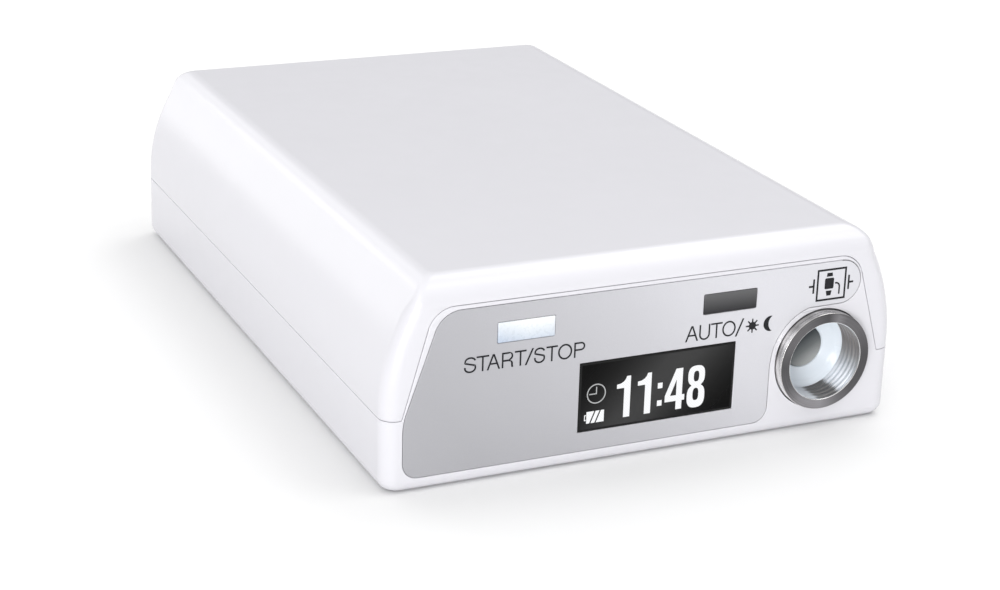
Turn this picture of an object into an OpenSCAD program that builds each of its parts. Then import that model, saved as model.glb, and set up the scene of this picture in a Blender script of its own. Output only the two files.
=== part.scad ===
// Compact monitor worn on a belt for 24 hours: it inflates an arm cuff through
// a threaded air socket, reads the pressure and keeps the readings.
// Frame: X to the right as the display is read, Y to the rear, Z up.
// Origin: middle of the bounding box, on the surface that it rests on. Millimetres.

/* [Case] */
// Width of the case, left to right
body_w = 66; // [66:0.5:68]
// Overall length, socket ring included
body_l = 95; // [95:0.5:98]
// Height of the case
body_h = 24.5; // [24.5:0.1:25.5]
// Wall thickness of both case halves
wall = 1.5; // [1.4:0.05:1.6]
// Height of the parting line on the sides and at the rear
part_z = 8.8; // [8.6:0.1:9]
// Lean of the front panel, in degrees
lean = 1.25; // [1:0.25:1.5]
// Corner radius of the case seen from above
corner_r = 1.8; // [1.6:0.1:2.4]
// Gap left all round between the two case halves at the front panel
seam = 0.06; // [0.04:0.01:0.1]

/* [Air socket] */
// Distance of the socket axis from the middle of the case
socket_x = 22.8; // [22:0.2:23]
// Height of the socket axis
socket_z = 8.9; // [8.7:0.1:9.1]
// Outer radius of the socket ring
socket_r = 6.1; // [6:0.1:6.2]
// Radius of the threaded bore, measured on the thread crests
bore_r = 4.8; // [4.6:0.1:4.9]
// Depth of the threaded bore
bore_depth = 3.8; // [3.6:0.1:4]

/* [Buttons] */
// Width of each push button
button_w = 7; // [6.6:0.1:7.4]
// Height of each push button
button_h = 2.4; // [2.2:0.1:2.6]
// How far a button stands out of the front panel
button_proud = 0.12; // [0.08:0.02:0.3]
// Travel of a button
button_travel = 0.5; // [0.3:0.1:0.5]
// Gap round a button in its slot
button_gap = 0.12; // [0.1:0.01:0.15]

/* [Power] */
// Radius of one size AA cell
cell_r = 7.15; // [7:0.05:7.15]
// Length of one size AA cell with its terminal
cell_l = 50.5; // [50:0.1:50.5]

/* [Hidden] */
$fn = 48;

hw = body_w / 2;
yr = body_l / 2;            // rear face
yring = -body_l / 2;        // front of the socket ring
yf = yring + 1;             // bottom front edge of the case
sl = tan(lean);             // slope of the front panel
side_r = 24.8;              // curve of the upper side walls
side_z = 9.6;               // where that curve starts
top_r = 3.3;                // rounding between side and top
foot_r = 1.8;               // rounding between side and underside
front_top_r = 3.2;          // rounding between front panel and top
front_foot_r = 1.5;         // rounding between front panel and underside
rear_r = 70;                // curve of the rear wall
rear_z = 12;                // where that curve starts
rear_top_r = 1.5;           // rounding between rear wall and top
rear_foot_r = 1.6;          // rounding between rear wall and underside
boss_xy = [[-28.3, -37], [28.3, -37], [-28.3, 11], [28.3, 11]];
start_x = -16.03;           // middle of the start/stop button
auto_x = 9.95;              // middle of the auto button
button_z = 17.65;           // height of both buttons
tray_y = 14.1;              // front of the battery tray
door_y = 15;                // front edge of the battery door
door_x = 27.95;             // half width of the battery door
lip_z = 6.4;                // top of the door's rear lip
port_y = -12;               // middle of the data port
port_z = 5.4;               // height of the data port
hinge = [32.45, 2.95];      // axis of the port cover, X and Z

function arc(c, r, a0, a1, n) = [for (i = [0:n]) let (a = a0 + (a1 - a0) * i / n) [c[0] + r * cos(a), c[1] + r * sin(a)]];
function flip(p) = [for (i = [len(p) - 1:-1:0]) [-p[i][0], p[i][1]]];

// Right half of a cross-section of the case, moved in by t
function side_half(t) = let (
        rb = max(foot_r - t, 0.3),
        cx = hw - side_r,
        xc = cx + sqrt(pow(side_r - top_r, 2) - pow(body_h - top_r - side_z, 2)),
        a1 = atan2(body_h - top_r - side_z, xc - cx))
    concat(arc([hw - t - rb, t + rb], rb, -90, 0, 5),
        arc([cx, side_z], side_r - t, 0, a1, 10),
        arc([xc, body_h - top_r], top_r - t, a1, 90, 5));

// Long section of the case, moved in by t: rear wall, then front panel
function long_section(t) = let (
        rb = max(rear_foot_r - t, 0.3), rt = max(rear_top_r - t, 0.3), ft = front_top_r - t, fb = max(front_foot_r - t, 0.3),
        yc = yr - rear_r,
        zt = body_h - t - rt,
        yt = yc + sqrt(pow(rear_r - t - rt, 2) - pow(zt - rear_z, 2)),
        a1 = atan2(zt - rear_z, yt - yc),
        zf = body_h - front_top_r, yft = yf + sl * zf + front_top_r / cos(lean),
        zb = t + fb, yfb = yf + sl * zb + (t + fb) / cos(lean))
    concat(arc([yr - t - rb, t + rb], rb, -90, 0, 4),
        arc([yc, rear_z], rear_r - t, 0, a1, 6),
        arc([yt, zt], rt, a1, 90, 4),
        arc([yft, zf], ft, 90, 180 - lean, 6),
        arc([yfb, zb], fb, 180 - lean, 270, 4));

function plan(t) = let (r = max(corner_r - t, 0.5), x = hw - t - r, y0 = yf + t + r, y1 = yr - t - r)
    concat(arc([x, y0], r, -90, 0, 5), arc([x, y1], r, 0, 90, 5), arc([-x, y1], r, 90, 180, 5), arc([-x, y0], r, 180, 270, 5));

// The case as one solid, moved in by t: three sections crossed
module body_solid(t) {
    intersection() {
        rotate([90, 0, 0]) linear_extrude(height = 2 * body_l, center = true)
            polygon(concat(side_half(t), flip(side_half(t))));
        rotate([90, 0, 90]) linear_extrude(height = 2 * body_w, center = true) polygon(long_section(t));
        translate([0, 0, -1]) linear_extrude(height = body_h + 2) polygon(plan(t));
    }
}

// Local frame of the front panel: X right, Y up the panel, Z out of it
module on_front() {
    translate([0, yf, 0]) rotate([90 - lean, 0, 0]) children();
}

// Block behind the panel's face, from depth d0 to depth d1
module panel_box(x0, x1, z0, z1, d0, d1) {
    on_front() translate([x0, z0, -d1]) cube([x1 - x0, z1 - z0, d1 - d0]);
}

module rod_x(x0, x1, y, z, r) {
    translate([x0, y, z]) rotate([0, 90, 0]) cylinder(h = x1 - x0, r = r);
}

module rod_y(y0, y1, x, z, r) {
    translate([x, y0, z]) rotate([-90, 0, 0]) cylinder(h = y1 - y0, r = r);
}

module box(x0, x1, y0, y1, z0, z1) {
    translate([x0, y0, z0]) cube([x1 - x0, y1 - y0, z1 - z0]);
}

// Outline of the lower half's front panel, grown by g
function tongue(g) = let (xb = 30.8 + g, xt = 27.1 + g, zt = 21.42 + g, z0 = part_z, k = atan2(xb - xt, zt - z0), r = 3.25 + g,
        d = r * tan((90 - k) / 2), cx = xt - d)
    concat([[xb, z0 - 4], [xb, z0]], arc([cx, zt - r], r, k, 90, 6),
        arc([-cx, zt - r], r, 90, 180 - k, 6), [[-xb, z0], [-xb, z0 - 4]]);

// Outline of the printed foil, shrunk by g
function foil(g) = concat(
    arc([14.0, 3.64], 1.86 - g, -90, 0, 5),
    [[15.86 - g, 8.9]],
    arc([socket_x, socket_z], 6.88 + g, 176, 107, 9),
    arc([25.0, 18.22], 2.68 - g, -90, 90, 12),
    arc([-23.9, 17.67], 3.25 - g, 90, 163, 6),
    arc([-23.4, 7.2], 7.26 - g, 163, 180, 3),
    arc([-28.8, 3.64], 1.86 - g, 180, 270, 5));

// Coil of round wire along +X from x0 to x1, radius ra at the start and rb at the end
module coil(x0, x1, y, z, ra, rb, wire, turns, per_turn, sides) {
    n = round(turns * per_turn);
    pts = [for (i = [0:n]) let (f = i / n, a = 360 * turns * f, r = ra + (rb - ra) * f, x = x0 + wire + (x1 - x0 - 2 * wire) * f)
        for (j = [0:sides - 1]) let (b = 360 * j / sides)
            [x + wire * sin(b), y + (r + wire * cos(b)) * cos(a), z + (r + wire * cos(b)) * sin(a)]];
    walls = [for (i = [0:n - 1]) for (j = [0:sides - 1]) let (k = (j + 1) % sides)
        [i * sides + j, i * sides + k, (i + 1) * sides + k, (i + 1) * sides + j]];
    polyhedron(points = pts, faces = concat(walls, [[for (j = [sides - 1:-1:0]) j], [for (j = [0:sides - 1]) n * sides + j]]), convexity = 10);
}

module shell() {
    difference() {
        body_solid(0);
        body_solid(wall);
    }
}

module lower_region(g) {
    box(-hw - 5, hw + 5, yf - 5, yr + 5, -5, part_z + g);
    on_front() translate([0, 0, -wall - 0.35 - g]) linear_extrude(height = wall + 2) polygon(tongue(g));
}

// Overlapping lip that lines up the two halves: the wall between insets t0 and t1
module lip(t0, t1, z0, z1) {
    intersection() {
        difference() {
            body_solid(t0);
            body_solid(t1);
        }
        box(-hw - 5, hw + 5, -40, yr + 5, z0, z1);
    }
}

module top_case() {
    color("white") difference() {
        union() {
            difference() {
                shell();
                lower_region(seam);
                lip(0.7, wall + 0.2, part_z - 1, part_z + 1.05);
            }
            intersection() {
                body_solid(0.6);
                for (p = boss_xy) translate([p[0], p[1], part_z - 0.1 + seam]) cylinder(h = body_h, r = 2.9);
            }
        }
        for (p = boss_xy) translate([p[0], p[1], part_z - 2]) cylinder(h = 9.2, r = 1.02);
    }
}

module bottom_case() {
    color("whitesmoke") difference() {
        union() {
            intersection() {
                shell();
                lower_region(0);
            }
            lip(0.8, wall, part_z - 0.5, part_z + 1);
            intersection() {
                body_solid(0.5);
                for (p = boss_xy) translate([p[0], p[1], 0.5]) cylinder(h = part_z - 0.7, r = 2.9);
            }
            box(28.6, 31.6, port_y - 7.2, port_y + 7.2, 1, 8.6);
        }
        // screw holes
        for (p = boss_xy) translate([p[0], p[1], -1]) {
            cylinder(h = 5.6, r = 2.1);
            cylinder(h = part_z + 3, r = 1.15);
        }
        // foil recess, window pocket, window opening
        on_front() translate([0, 0, -0.24]) linear_extrude(height = 2) polygon(foil(-0.05));
        panel_box(-9.24, 11.04, 4.1, 12.6, -1, 1.04);
        panel_box(-8.2, 9.8, 5.2, 11.5, 0, 4);
        // button slots
        for (x = [start_x, auto_x]) panel_box(x - button_w / 2 - button_gap, x + button_w / 2 + button_gap,
            button_z - button_h / 2 - button_gap, button_z + button_h / 2 + button_gap, -1, 3);
        // socket hole
        rod_y(yf - 3, yf + 6, socket_x, socket_z, socket_r + 0.06);
        // battery opening, rear lip and the door's two grooves
        box(-door_x - 0.12, door_x + 0.12, door_y - 0.12, yr + 5, -2, wall + 0.05);
        box(-door_x - 0.12, door_x + 0.12, yr - wall - 0.3, yr + 5, -2, lip_z + 0.12);
        for (s = [-1, 1]) translate([s * (door_x + 0.5), door_y + 0.1, 0.38]) translate([-0.5, 0, 0]) cube([1, 60, 0.6]);
        // recess, hinge pin holes and opening of the data port
        box(31.8, 40, port_y - 6, port_y + 6, 2.1, 8.2);
        rod_y(port_y - 7, port_y + 7, hinge[0], hinge[1], 0.45);
        box(20, 33, port_y - 3.9, port_y + 3.9, port_z - 1.45, port_z + 1.45);
        // sound holes
        for (i = [-1:1]) translate([-16 + 2.4 * i, -28, -1]) cylinder(h = 4, r = 0.6);
    }
}

module front_label() {
    color("lightgray") difference() {
        on_front() translate([0, 0, -0.22]) linear_extrude(height = 0.2) polygon(foil(0));
        panel_box(-9.24, 11.04, 4.1, 12.6, -1, 1);
        for (x = [start_x, auto_x]) panel_box(x - button_w / 2 - button_gap, x + button_w / 2 + button_gap,
            button_z - button_h / 2 - button_gap, button_z + button_h / 2 + button_gap, -1, 1);
    }
}

module display_window() {
    color("black") panel_box(-9.19, 10.99, 4.15, 12.55, 0.02, 1.02);
}

module display_panel() {
    color("midnightblue") panel_box(-9.7, 11.3, 3.6, 13.1, wall + 0.08, wall + 1.4);
}

module display_pad() {
    color("dimgray") panel_box(-9.7, 11.3, 3.6, 13.1, wall + 1.42, 4.26);
}

// Push button: cap, flange that keeps it in, stem
module button(x) {
    panel_box(x - button_w / 2, x + button_w / 2, button_z - button_h / 2, button_z + button_h / 2, -button_proud, wall + 0.2);
    panel_box(x - button_w / 2 - 0.8, x + button_w / 2 + 0.8, button_z - button_h / 2 - 0.8, button_z + button_h / 2 + 0.8, wall + 0.1, wall + 0.65);
    on_front() translate([x, button_z, -2.62]) cylinder(h = 0.6, r = 1);
}

module start_stop_button() { color("white") button(start_x); }
module auto_button() { color("darkslategray") button(auto_x); }

module plunger(x) { on_front() translate([x, button_z, -3.75]) cylinder(h = 1.1, r = 0.8); }
module start_plunger() { color("orangered") plunger(start_x); }
module auto_plunger() { color("orangered") plunger(auto_x); }

module switch_body(x) {
    difference() {
        panel_box(x - 2.3, x + 2.3, button_z - 1.7, button_z + 1.7, 3.3, 4.28);
        on_front() translate([x, button_z, -5]) cylinder(h = 3, r = 0.85);
    }
}
module start_switch() { color("gray") switch_body(start_x); }
module auto_switch() { color("gray") switch_body(auto_x); }

module status_leds() {
    color("lightyellow") for (x = [start_x, auto_x]) panel_box(x + 2.7, x + 4.3, button_z - 0.4, button_z + 0.4, 3.7, 4.28);
}

module front_board() {
    color("seagreen") panel_box(-28.4, 13.4, 3, 19.4, 4.3, 5.3);
}

module main_board() {
    color("seagreen") difference() {
        box(-29, 29, -40.3, 12.6, 17.2, 18.2);
        for (p = boss_xy) translate([p[0], p[1], 16]) cylinder(h = 4, r = 3.2);
    }
}

module board_chips() {
    color("black") {
        box(-3, 8, -24, -13, 18.22, 19.6);
        box(12, 20, -12, -6, 18.22, 19.3);
        box(12, 21, -30, -21, 18.22, 19.7);
        box(-24, -16, -30, -22, 18.22, 19.3);
        box(-6, 4, -39, -35.5, 18.22, 20.4);
        box(6, 18, 6, 10.5, 18.22, 21);
        box(-22, -10, 6, 10.5, 18.22, 20.2);
    }
}

module cell_holder() {
    color("ivory") translate([-14, -6, 18.22]) difference() {
        cylinder(h = 2, r = 7.4);
        translate([0, 0, 0.6]) cylinder(h = 3, r = 6.3);
    }
}

module backup_cell() {
    color("silver") translate([-14, -6, 18.84]) cylinder(h = 2, r = 6.25);
}

module air_socket() {
    y1 = yring + bore_depth;
    color("silver") difference() {
        union() {
            rod_y(yring, yf + 2.26, socket_x, socket_z, socket_r);
            rod_y(yf + 2.25, yf + 3.3, socket_x, socket_z, 7);
            rod_y(yf + 3.2, yf + 5.45, socket_x, socket_z, 5.9);
        }
        rod_y(yring - 1, y1 + 0.01, socket_x, socket_z, bore_r);
        rod_y(y1, yf + 6, socket_x, socket_z, 5.3);
    }
}

module socket_gasket() {
    color("dimgray") difference() {
        rod_y(yf + 1.88, yf + 2.23, socket_x, socket_z, 7);
        rod_y(yf, yf + 4, socket_x, socket_z, socket_r + 0.05);
    }
}

// Funnel seat for the plug of the cuff hose, revolved about the socket axis
module socket_seat() {
    color("aliceblue") translate([socket_x, yring + bore_depth + 0.02, socket_z]) rotate([-90, 0, 0])
        rotate_extrude() polygon([[5.27, 0], [5.27, 2.6], [1.4, 2.6], [1.4, 1.75], [2.66, 1.75], [2.66, 1.15], [bore_r - 0.02, 0]]);
}

module socket_filter() {
    color("gray") translate([socket_x, yring + bore_depth + 1.22, socket_z]) rotate([-90, 0, 0]) cylinder(h = 0.53, r = 2.6);
}

module socket_seal() {
    color("dimgray") difference() {
        rod_y(yf + 5.47, yf + 5.77, socket_x, socket_z, 5.6);
        rod_y(yf, yf + 9, socket_x, socket_z, 3.6);
    }
}

module air_manifold() {
    color("lightsteelblue") difference() {
        union() {
            rod_y(yf + 3.34, yf + 6.4, socket_x, socket_z, 6.85);
            box(15.2, 25.2, yf + 6.3, yf + 23.9, 2.2, 14.9);
            rod_y(yf + 23.8, yf + 28, socket_x, socket_z, 1.8);
        }
        rod_y(yf + 3, yf + 5.8, socket_x, socket_z, 5.95);
        rod_y(yf + 5, yf + 23, socket_x, socket_z, 1.5);
        rod_y(yf + 22, yf + 29, socket_x, socket_z, 1);
        rod_x(14, socket_x, yf + 13.5, socket_z, 1.5);
        rod_x(14, socket_x, yf + 21.2, socket_z, 0.8);
        for (y = [yf + 11.5, yf + 19.5]) translate([socket_x, y, socket_z]) cylinder(h = 10, r = 0.8);
    }
}

module pump_motor() {
    color("lightgray") difference() {
        rod_x(-25.1, -10, 1.5, 9.6, 7.4);
        rod_x(-21, -9, 1.5, 9.6, 0.85);
    }
}

module pump_rotor() {
    color("gold") {
        rod_x(-20, -1.8, 1.5, 9.6, 0.8);
        rod_x(-7.2, -3, 1.5, 10.4, 2.2);
    }
}

module pump_head() {
    color("ivory") difference() {
        box(-9.96, -0.5, -5.9, 8.9, 2.2, 17);
        rod_x(-9, 1, 1.5, 9.6, 6);
        rod_x(-12, -8, 1.5, 9.6, 1.6);
    }
}

module pump_diaphragm() {
    color("dimgray") rod_x(-0.48, 0.46, 1.5, 9.6, 7.2);
}

module pump_cap() {
    color("ivory") difference() {
        union() {
            rod_x(0.5, 6, 1.5, 9.6, 7.2);
            rod_x(5.9, 10.5, 1.5, socket_z, 1.8);
        }
        rod_x(3, 11, 1.5, socket_z, 1);
        rod_x(-1, 3.5, 1.5, 9.6, 5);
    }
}

module pump_cradle() {
    color("darkgray") difference() {
        box(-24, -12, -4.5, 7.5, wall + 0.05, 6);
        rod_x(-30, -8, 1.5, 9.6, 7.42);
    }
}

// Silicone tube from the pump to the manifold, with one right-angle bend
module air_tube() {
    color("lightcyan") difference() {
        union() {
            rod_x(6.1, 16.8, 1.5, socket_z, 2.8);
            translate([16.8, -4.5, socket_z]) rotate_extrude(angle = 90) translate([6, 0]) circle(r = 2.8);
            rod_y(yf + 24.1, -4.5, 22.8, socket_z, 2.8);
        }
        rod_x(6, 16.8, 1.5, socket_z, 1.85);
        translate([16.8, -4.5, socket_z]) rotate_extrude(angle = 90) translate([6, 0]) circle(r = 1.85);
        rod_y(yf + 24, -4.5, 22.8, socket_z, 1.85);
    }
}

module exhaust_valve() {
    color("silver") difference() {
        union() {
            rod_x(-8.2, 12.2, yf + 13.5, socket_z, 4.9);
            rod_x(12.1, 15.18, yf + 13.5, socket_z, 2.4);
        }
        rod_x(-7, 11, yf + 13.5, socket_z, 2.05);
        rod_x(10, 16, yf + 13.5, socket_z, 1);
    }
}

module valve_plunger() {
    color("gold") {
        rod_x(-5, 5.9, yf + 13.5, socket_z, 2);
        rod_x(5.8, 9.8, yf + 13.5, socket_z, 0.9);
    }
}

module valve_spring() {
    color("gray") coil(5.95, 10.95, yf + 13.5, socket_z, 1.5, 1.5, 0.2, 5, 12, 6);
}

module leak_valve() {
    color("silver") difference() {
        union() {
            rod_x(5, 13, yf + 21.2, socket_z, 2.5);
            rod_x(12.9, 15.18, yf + 21.2, socket_z, 1.5);
        }
        rod_x(8, 16, yf + 21.2, socket_z, 0.7);
    }
}

module pressure_sensors() {
    color("gainsboro") for (y = [yf + 11.5, yf + 19.5]) difference() {
        box(18.2, 24.8, y - 3.3, y + 3.3, 14.92, 17.18);
        translate([socket_x, y, 14]) cylinder(h = 2.2, r = 0.75);
    }
}

module buzzer() {
    color("black") difference() {
        translate([-16, -28, 13.8]) cylinder(h = 3.36, r = 6);
        translate([-16, -28, 13]) cylinder(h = 2, r = 1.1);
    }
}

module battery_tray() {
    color("dimgray") difference() {
        box(-29.4, 29.4, tray_y, yr - wall - 0.4, wall + 0.1, 18.3);
        box(-28.4, 28.4, tray_y + 1, yr - wall - 1.4, 0, 17.3);
    }
}

// One cell along X, terminal at the +X end when s is 1
module cell(y, s) {
    x1 = 27.96;
    translate([0, y, 9.3]) rotate([0, s * 90, 0]) {
        translate([0, 0, x1 - cell_l]) cylinder(h = cell_l - 1, r = cell_r);
        translate([0, 0, x1 - 1.1]) cylinder(h = 1.1, r = 2.75);
    }
}

module battery_cells() {
    color("slategray") {
        cell(22.45, 1);
        cell(37.25, -1);
    }
}

module battery_springs() {
    color("silver") {
        coil(-27.96, 27.9 - cell_l, 22.45, 9.3, 4.6, 3, 0.35, 3.5, 14, 6);
        mirror([1, 0, 0]) coil(-27.96, 27.9 - cell_l, 37.25, 9.3, 4.6, 3, 0.35, 3.5, 14, 6);
    }
}

module battery_contacts() {
    color("lightgray") {
        box(-28.38, -27.98, 16.5, 28.4, 3.6, 15);
        box(-28.38, -27.98, 31.3, 43.2, 3.6, 15);
        box(27.98, 28.38, 16.5, 43.2, 3.6, 15);
    }
}

// Cover that slides to the rear, with a lip up the rear wall and two side rails
module battery_door() {
    color("whitesmoke") {
        difference() {
            intersection() {
                shell();
                box(-door_x, door_x, door_y, yr + 5, -2, lip_z);
            }
            for (i = [0:4]) translate([-9, door_y + 6 + 1.8 * i, -0.25]) cube([18, 0.9, 0.6]);
        }
        for (s = [-1, 1]) translate([s * (door_x + 0.3), door_y + 0.3, 0.45]) translate([-0.5, 0, 0]) cube([1, 30, 0.45]);
    }
}

module data_port() {
    color("silver") difference() {
        box(26.3, 31.7, port_y - 3.75, port_y + 3.75, port_z - 1.35, port_z + 1.35);
        box(27, 33, port_y - 3.45, port_y + 3.45, port_z - 1.05, port_z + 1.05);
    }
}

module port_board() {
    color("seagreen") box(19.5, 28.5, port_y - 6.5, port_y + 6.5, port_z - 2.2, port_z - 1.37);
}

// Flap over the data port, turning on its lower edge
module port_cover() {
    color("whitesmoke") {
        box(31.9, 33, port_y - 5.9, port_y + 5.9, hinge[1], 8.1);
        rod_y(port_y - 5.9, port_y + 5.9, hinge[0], hinge[1], 0.55);
        rod_y(port_y - 6.8, port_y + 6.8, hinge[0], hinge[1], 0.4);
    }
}

module case_screws() {
    color("dimgray") for (p = boss_xy) translate([p[0], p[1], 0]) difference() {
        union() {
            translate([0, 0, 3.1]) cylinder(h = 1.48, r = 1.9);
            translate([0, 0, 4.5]) cylinder(h = 11, r = 1);
        }
        for (a = [0, 90]) rotate([0, 0, a]) translate([-1.2, -0.25, 2.5]) cube([2.4, 0.5, 1.3]);
    }
}

top_case();
bottom_case();
front_label();
display_window();
display_panel();
display_pad();
start_stop_button();
auto_button();
start_plunger();
auto_plunger();
start_switch();
auto_switch();
status_leds();
front_board();
main_board();
board_chips();
cell_holder();
backup_cell();
air_socket();
socket_gasket();
socket_seat();
socket_filter();
socket_seal();
air_manifold();
pump_motor();
pump_rotor();
pump_head();
pump_diaphragm();
pump_cap();
pump_cradle();
air_tube();
exhaust_valve();
valve_plunger();
valve_spring();
leak_valve();
pressure_sensors();
buzzer();
battery_tray();
battery_cells();
battery_springs();
battery_contacts();
battery_door();
data_port();
port_board();
port_cover();
case_screws();
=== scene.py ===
"""Looks of a compact 24-hour blood pressure monitor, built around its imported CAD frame.
Shapes are worked out in millimetres and turned into metres when a piece is finished.
Frame: X right as the display is read, Y to the rear, Z up, origin under the middle of the case."""
import math
import bpy
import bmesh
from math import sin, cos, tan, pi, sqrt, atan2, radians
from mathutils import Matrix, Vector


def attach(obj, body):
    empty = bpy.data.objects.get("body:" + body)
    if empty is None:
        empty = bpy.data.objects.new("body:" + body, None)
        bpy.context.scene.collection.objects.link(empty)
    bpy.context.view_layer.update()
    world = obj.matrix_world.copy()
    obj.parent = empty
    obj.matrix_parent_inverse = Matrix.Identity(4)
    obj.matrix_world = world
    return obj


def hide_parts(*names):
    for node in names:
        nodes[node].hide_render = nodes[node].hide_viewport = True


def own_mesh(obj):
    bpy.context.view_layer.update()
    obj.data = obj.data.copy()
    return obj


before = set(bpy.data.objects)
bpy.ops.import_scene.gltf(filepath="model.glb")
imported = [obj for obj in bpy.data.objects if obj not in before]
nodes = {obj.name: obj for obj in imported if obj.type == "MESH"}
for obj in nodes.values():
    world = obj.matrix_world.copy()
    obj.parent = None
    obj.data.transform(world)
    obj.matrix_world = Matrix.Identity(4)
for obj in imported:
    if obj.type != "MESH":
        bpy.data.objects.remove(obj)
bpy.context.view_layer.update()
scene = bpy.context.scene
link = scene.collection.objects.link

# ------------------------------------------------------------------ camera
def make_camera():
    turn = Vector((1.90815946, -0.388626624, 0.317158693))
    m = Matrix.Rotation(turn.length, 3, turn.normalized())
    t = Vector((-2.10149100, 2.83109044, 287.214079))
    place = -(m.transposed() @ t) * 0.001
    axes = Matrix((m[0], -m[1], -m[2])).transposed()
    data = bpy.data.cameras.new("camera")
    data.sensor_width = 36
    data.lens = 2131.70045 * 36 / 1000
    data.clip_start = 0.01
    data.clip_end = 20
    ob = bpy.data.objects.new("camera", data)
    link(ob)
    ob.matrix_world = Matrix.Translation(place) @ axes.to_4x4()
    scene.camera = ob


make_camera()

# ------------------------------------------------------------------ mesh helpers
def mesh_obj(name, verts, faces):
    me = bpy.data.meshes.new(name)
    me.from_pydata([tuple(v) for v in verts], [], [tuple(f) for f in faces])
    me.update()
    ob = bpy.data.objects.new(name, me)
    link(ob)
    return ob


def tidy(ob, dist=1e-5, normals=True):
    bm = bmesh.new()
    bm.from_mesh(ob.data)
    bmesh.ops.remove_doubles(bm, verts=bm.verts, dist=dist)
    bmesh.ops.dissolve_degenerate(bm, edges=bm.edges, dist=dist)
    if normals:
        bmesh.ops.recalc_face_normals(bm, faces=bm.faces)
    bm.to_mesh(ob.data)
    bm.free()
    ob.data.update()
    return ob


def loft(name, rings, cap0=True, cap1=True, closed=False):
    """Skin over rings of points; closed joins the last ring to the first."""
    n = len(rings[0])
    verts = [p for r in rings for p in r]
    faces = []
    m = len(rings)
    for k in range(m if closed else m - 1):
        a, b = k * n, ((k + 1) % m) * n
        for i in range(n):
            j = (i + 1) % n
            faces.append((a + i, a + j, b + j, b + i))
    if not closed:
        if cap0:
            faces.append(tuple(range(n - 1, -1, -1)))
        if cap1:
            faces.append(tuple((m - 1) * n + i for i in range(n)))
    return tidy(mesh_obj(name, verts, faces))


def applied(ob):
    bpy.context.view_layer.update()
    dg = bpy.context.evaluated_depsgraph_get()
    me = bpy.data.meshes.new_from_object(ob.evaluated_get(dg), preserve_all_data_layers=True, depsgraph=dg)
    old = ob.data
    ob.modifiers.clear()
    ob.data = me
    bpy.data.meshes.remove(old)
    return ob


def drop(ob):
    me = ob.data
    bpy.data.objects.remove(ob)
    if me and me.users == 0:
        bpy.data.meshes.remove(me)


def cut(ob, tool, how="DIFFERENCE", keep=False, own=False):
    m = ob.modifiers.new("cut", "BOOLEAN")
    m.operation = how
    m.object = tool
    m.solver = "EXACT"
    m.use_self = own
    applied(ob)
    if not keep:
        drop(tool)
    return ob


def soften(ob, width, segs=2, angle=35, clamp=False):
    """Small rounded edges wherever two faces meet at more than angle."""
    m = ob.modifiers.new("edge", "BEVEL")
    m.width = width
    m.segments = segs
    m.limit_method = "ANGLE"
    m.angle_limit = radians(angle)
    m.use_clamp_overlap = clamp
    m.miter_outer = "MITER_ARC"
    return applied(ob)


def inside(ob):
    """Bevels that swell past the box of the part are pressed flat against it."""
    for v in ob.data.vertices:
        v.co = (min(max(v.co.x, -HW), HW), min(max(v.co.y, -YR), YR), min(max(v.co.z, 0.0), H))
    return ob


def joined(name, parts):
    bm = bmesh.new()
    for p in parts:
        bm.from_mesh(p.data)
    me = bpy.data.meshes.new(name)
    bm.to_mesh(me)
    bm.free()
    for p in parts:
        drop(p)
    ob = bpy.data.objects.new(name, me)
    link(ob)
    return ob


def finish_piece(ob, materials, body, stands_for=(), weighted=True, sharp=None, smooth=True, scale=True, paint=None):
    """Turns a finished piece into metres, shades it and hangs it on its body."""
    if scale:
        ob.data.transform(Matrix.Scale(0.001, 4))
    ob.data.materials.clear()
    for m in materials:
        ob.data.materials.append(m)
    if paint:
        for p in ob.data.polygons:
            p.material_index = paint(p.center * 1000, p.normal)
    ob.data.polygons.foreach_set("use_smooth", [smooth] * len(ob.data.polygons))
    if sharp:
        ob.data.set_sharp_from_angle(angle=radians(sharp))
    if weighted:
        w = ob.modifiers.new("shade", "WEIGHTED_NORMAL")
        w.mode = "FACE_AREA"
        w.weight = 50
        w.keep_sharp = True
        applied(ob)
    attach(ob, body)
    if stands_for:
        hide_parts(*stands_for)
    return ob


def box(x0, x1, y0, y1, z0, z1, name="box"):
    v = [(x, y, z) for z in (z0, z1) for y in (y0, y1) for x in (x0, x1)]
    f = [(0, 2, 3, 1), (4, 5, 7, 6), (0, 1, 5, 4), (2, 6, 7, 3), (0, 4, 6, 2), (1, 3, 7, 5)]
    return mesh_obj(name, v, f)


def rod(p0, axis, length, r, n=48, name="rod", r1=None):
    """Cylinder or cone from p0 along axis ('x', 'y' or 'z')."""
    r1 = r if r1 is None else r1
    rings = []
    for h, rr in ((0, r), (length, r1)):
        ring = []
        for i in range(n):
            a = 2 * pi * i / n
            u, v = rr * cos(a), rr * sin(a)
            d = {"x": (h, u, v), "y": (u, h, v), "z": (u, v, h)}[axis]
            ring.append((p0[0] + d[0], p0[1] + d[1], p0[2] + d[2]))
        rings.append(ring)
    return loft(name, rings)


def arc(cx, cy, r, a0, a1, n, ry=None):
    ry = r if ry is None else ry
    return [(cx + r * cos(radians(a0 + (a1 - a0) * i / n)), cy + ry * sin(radians(a0 + (a1 - a0) * i / n))) for i in range(n + 1)]


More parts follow.
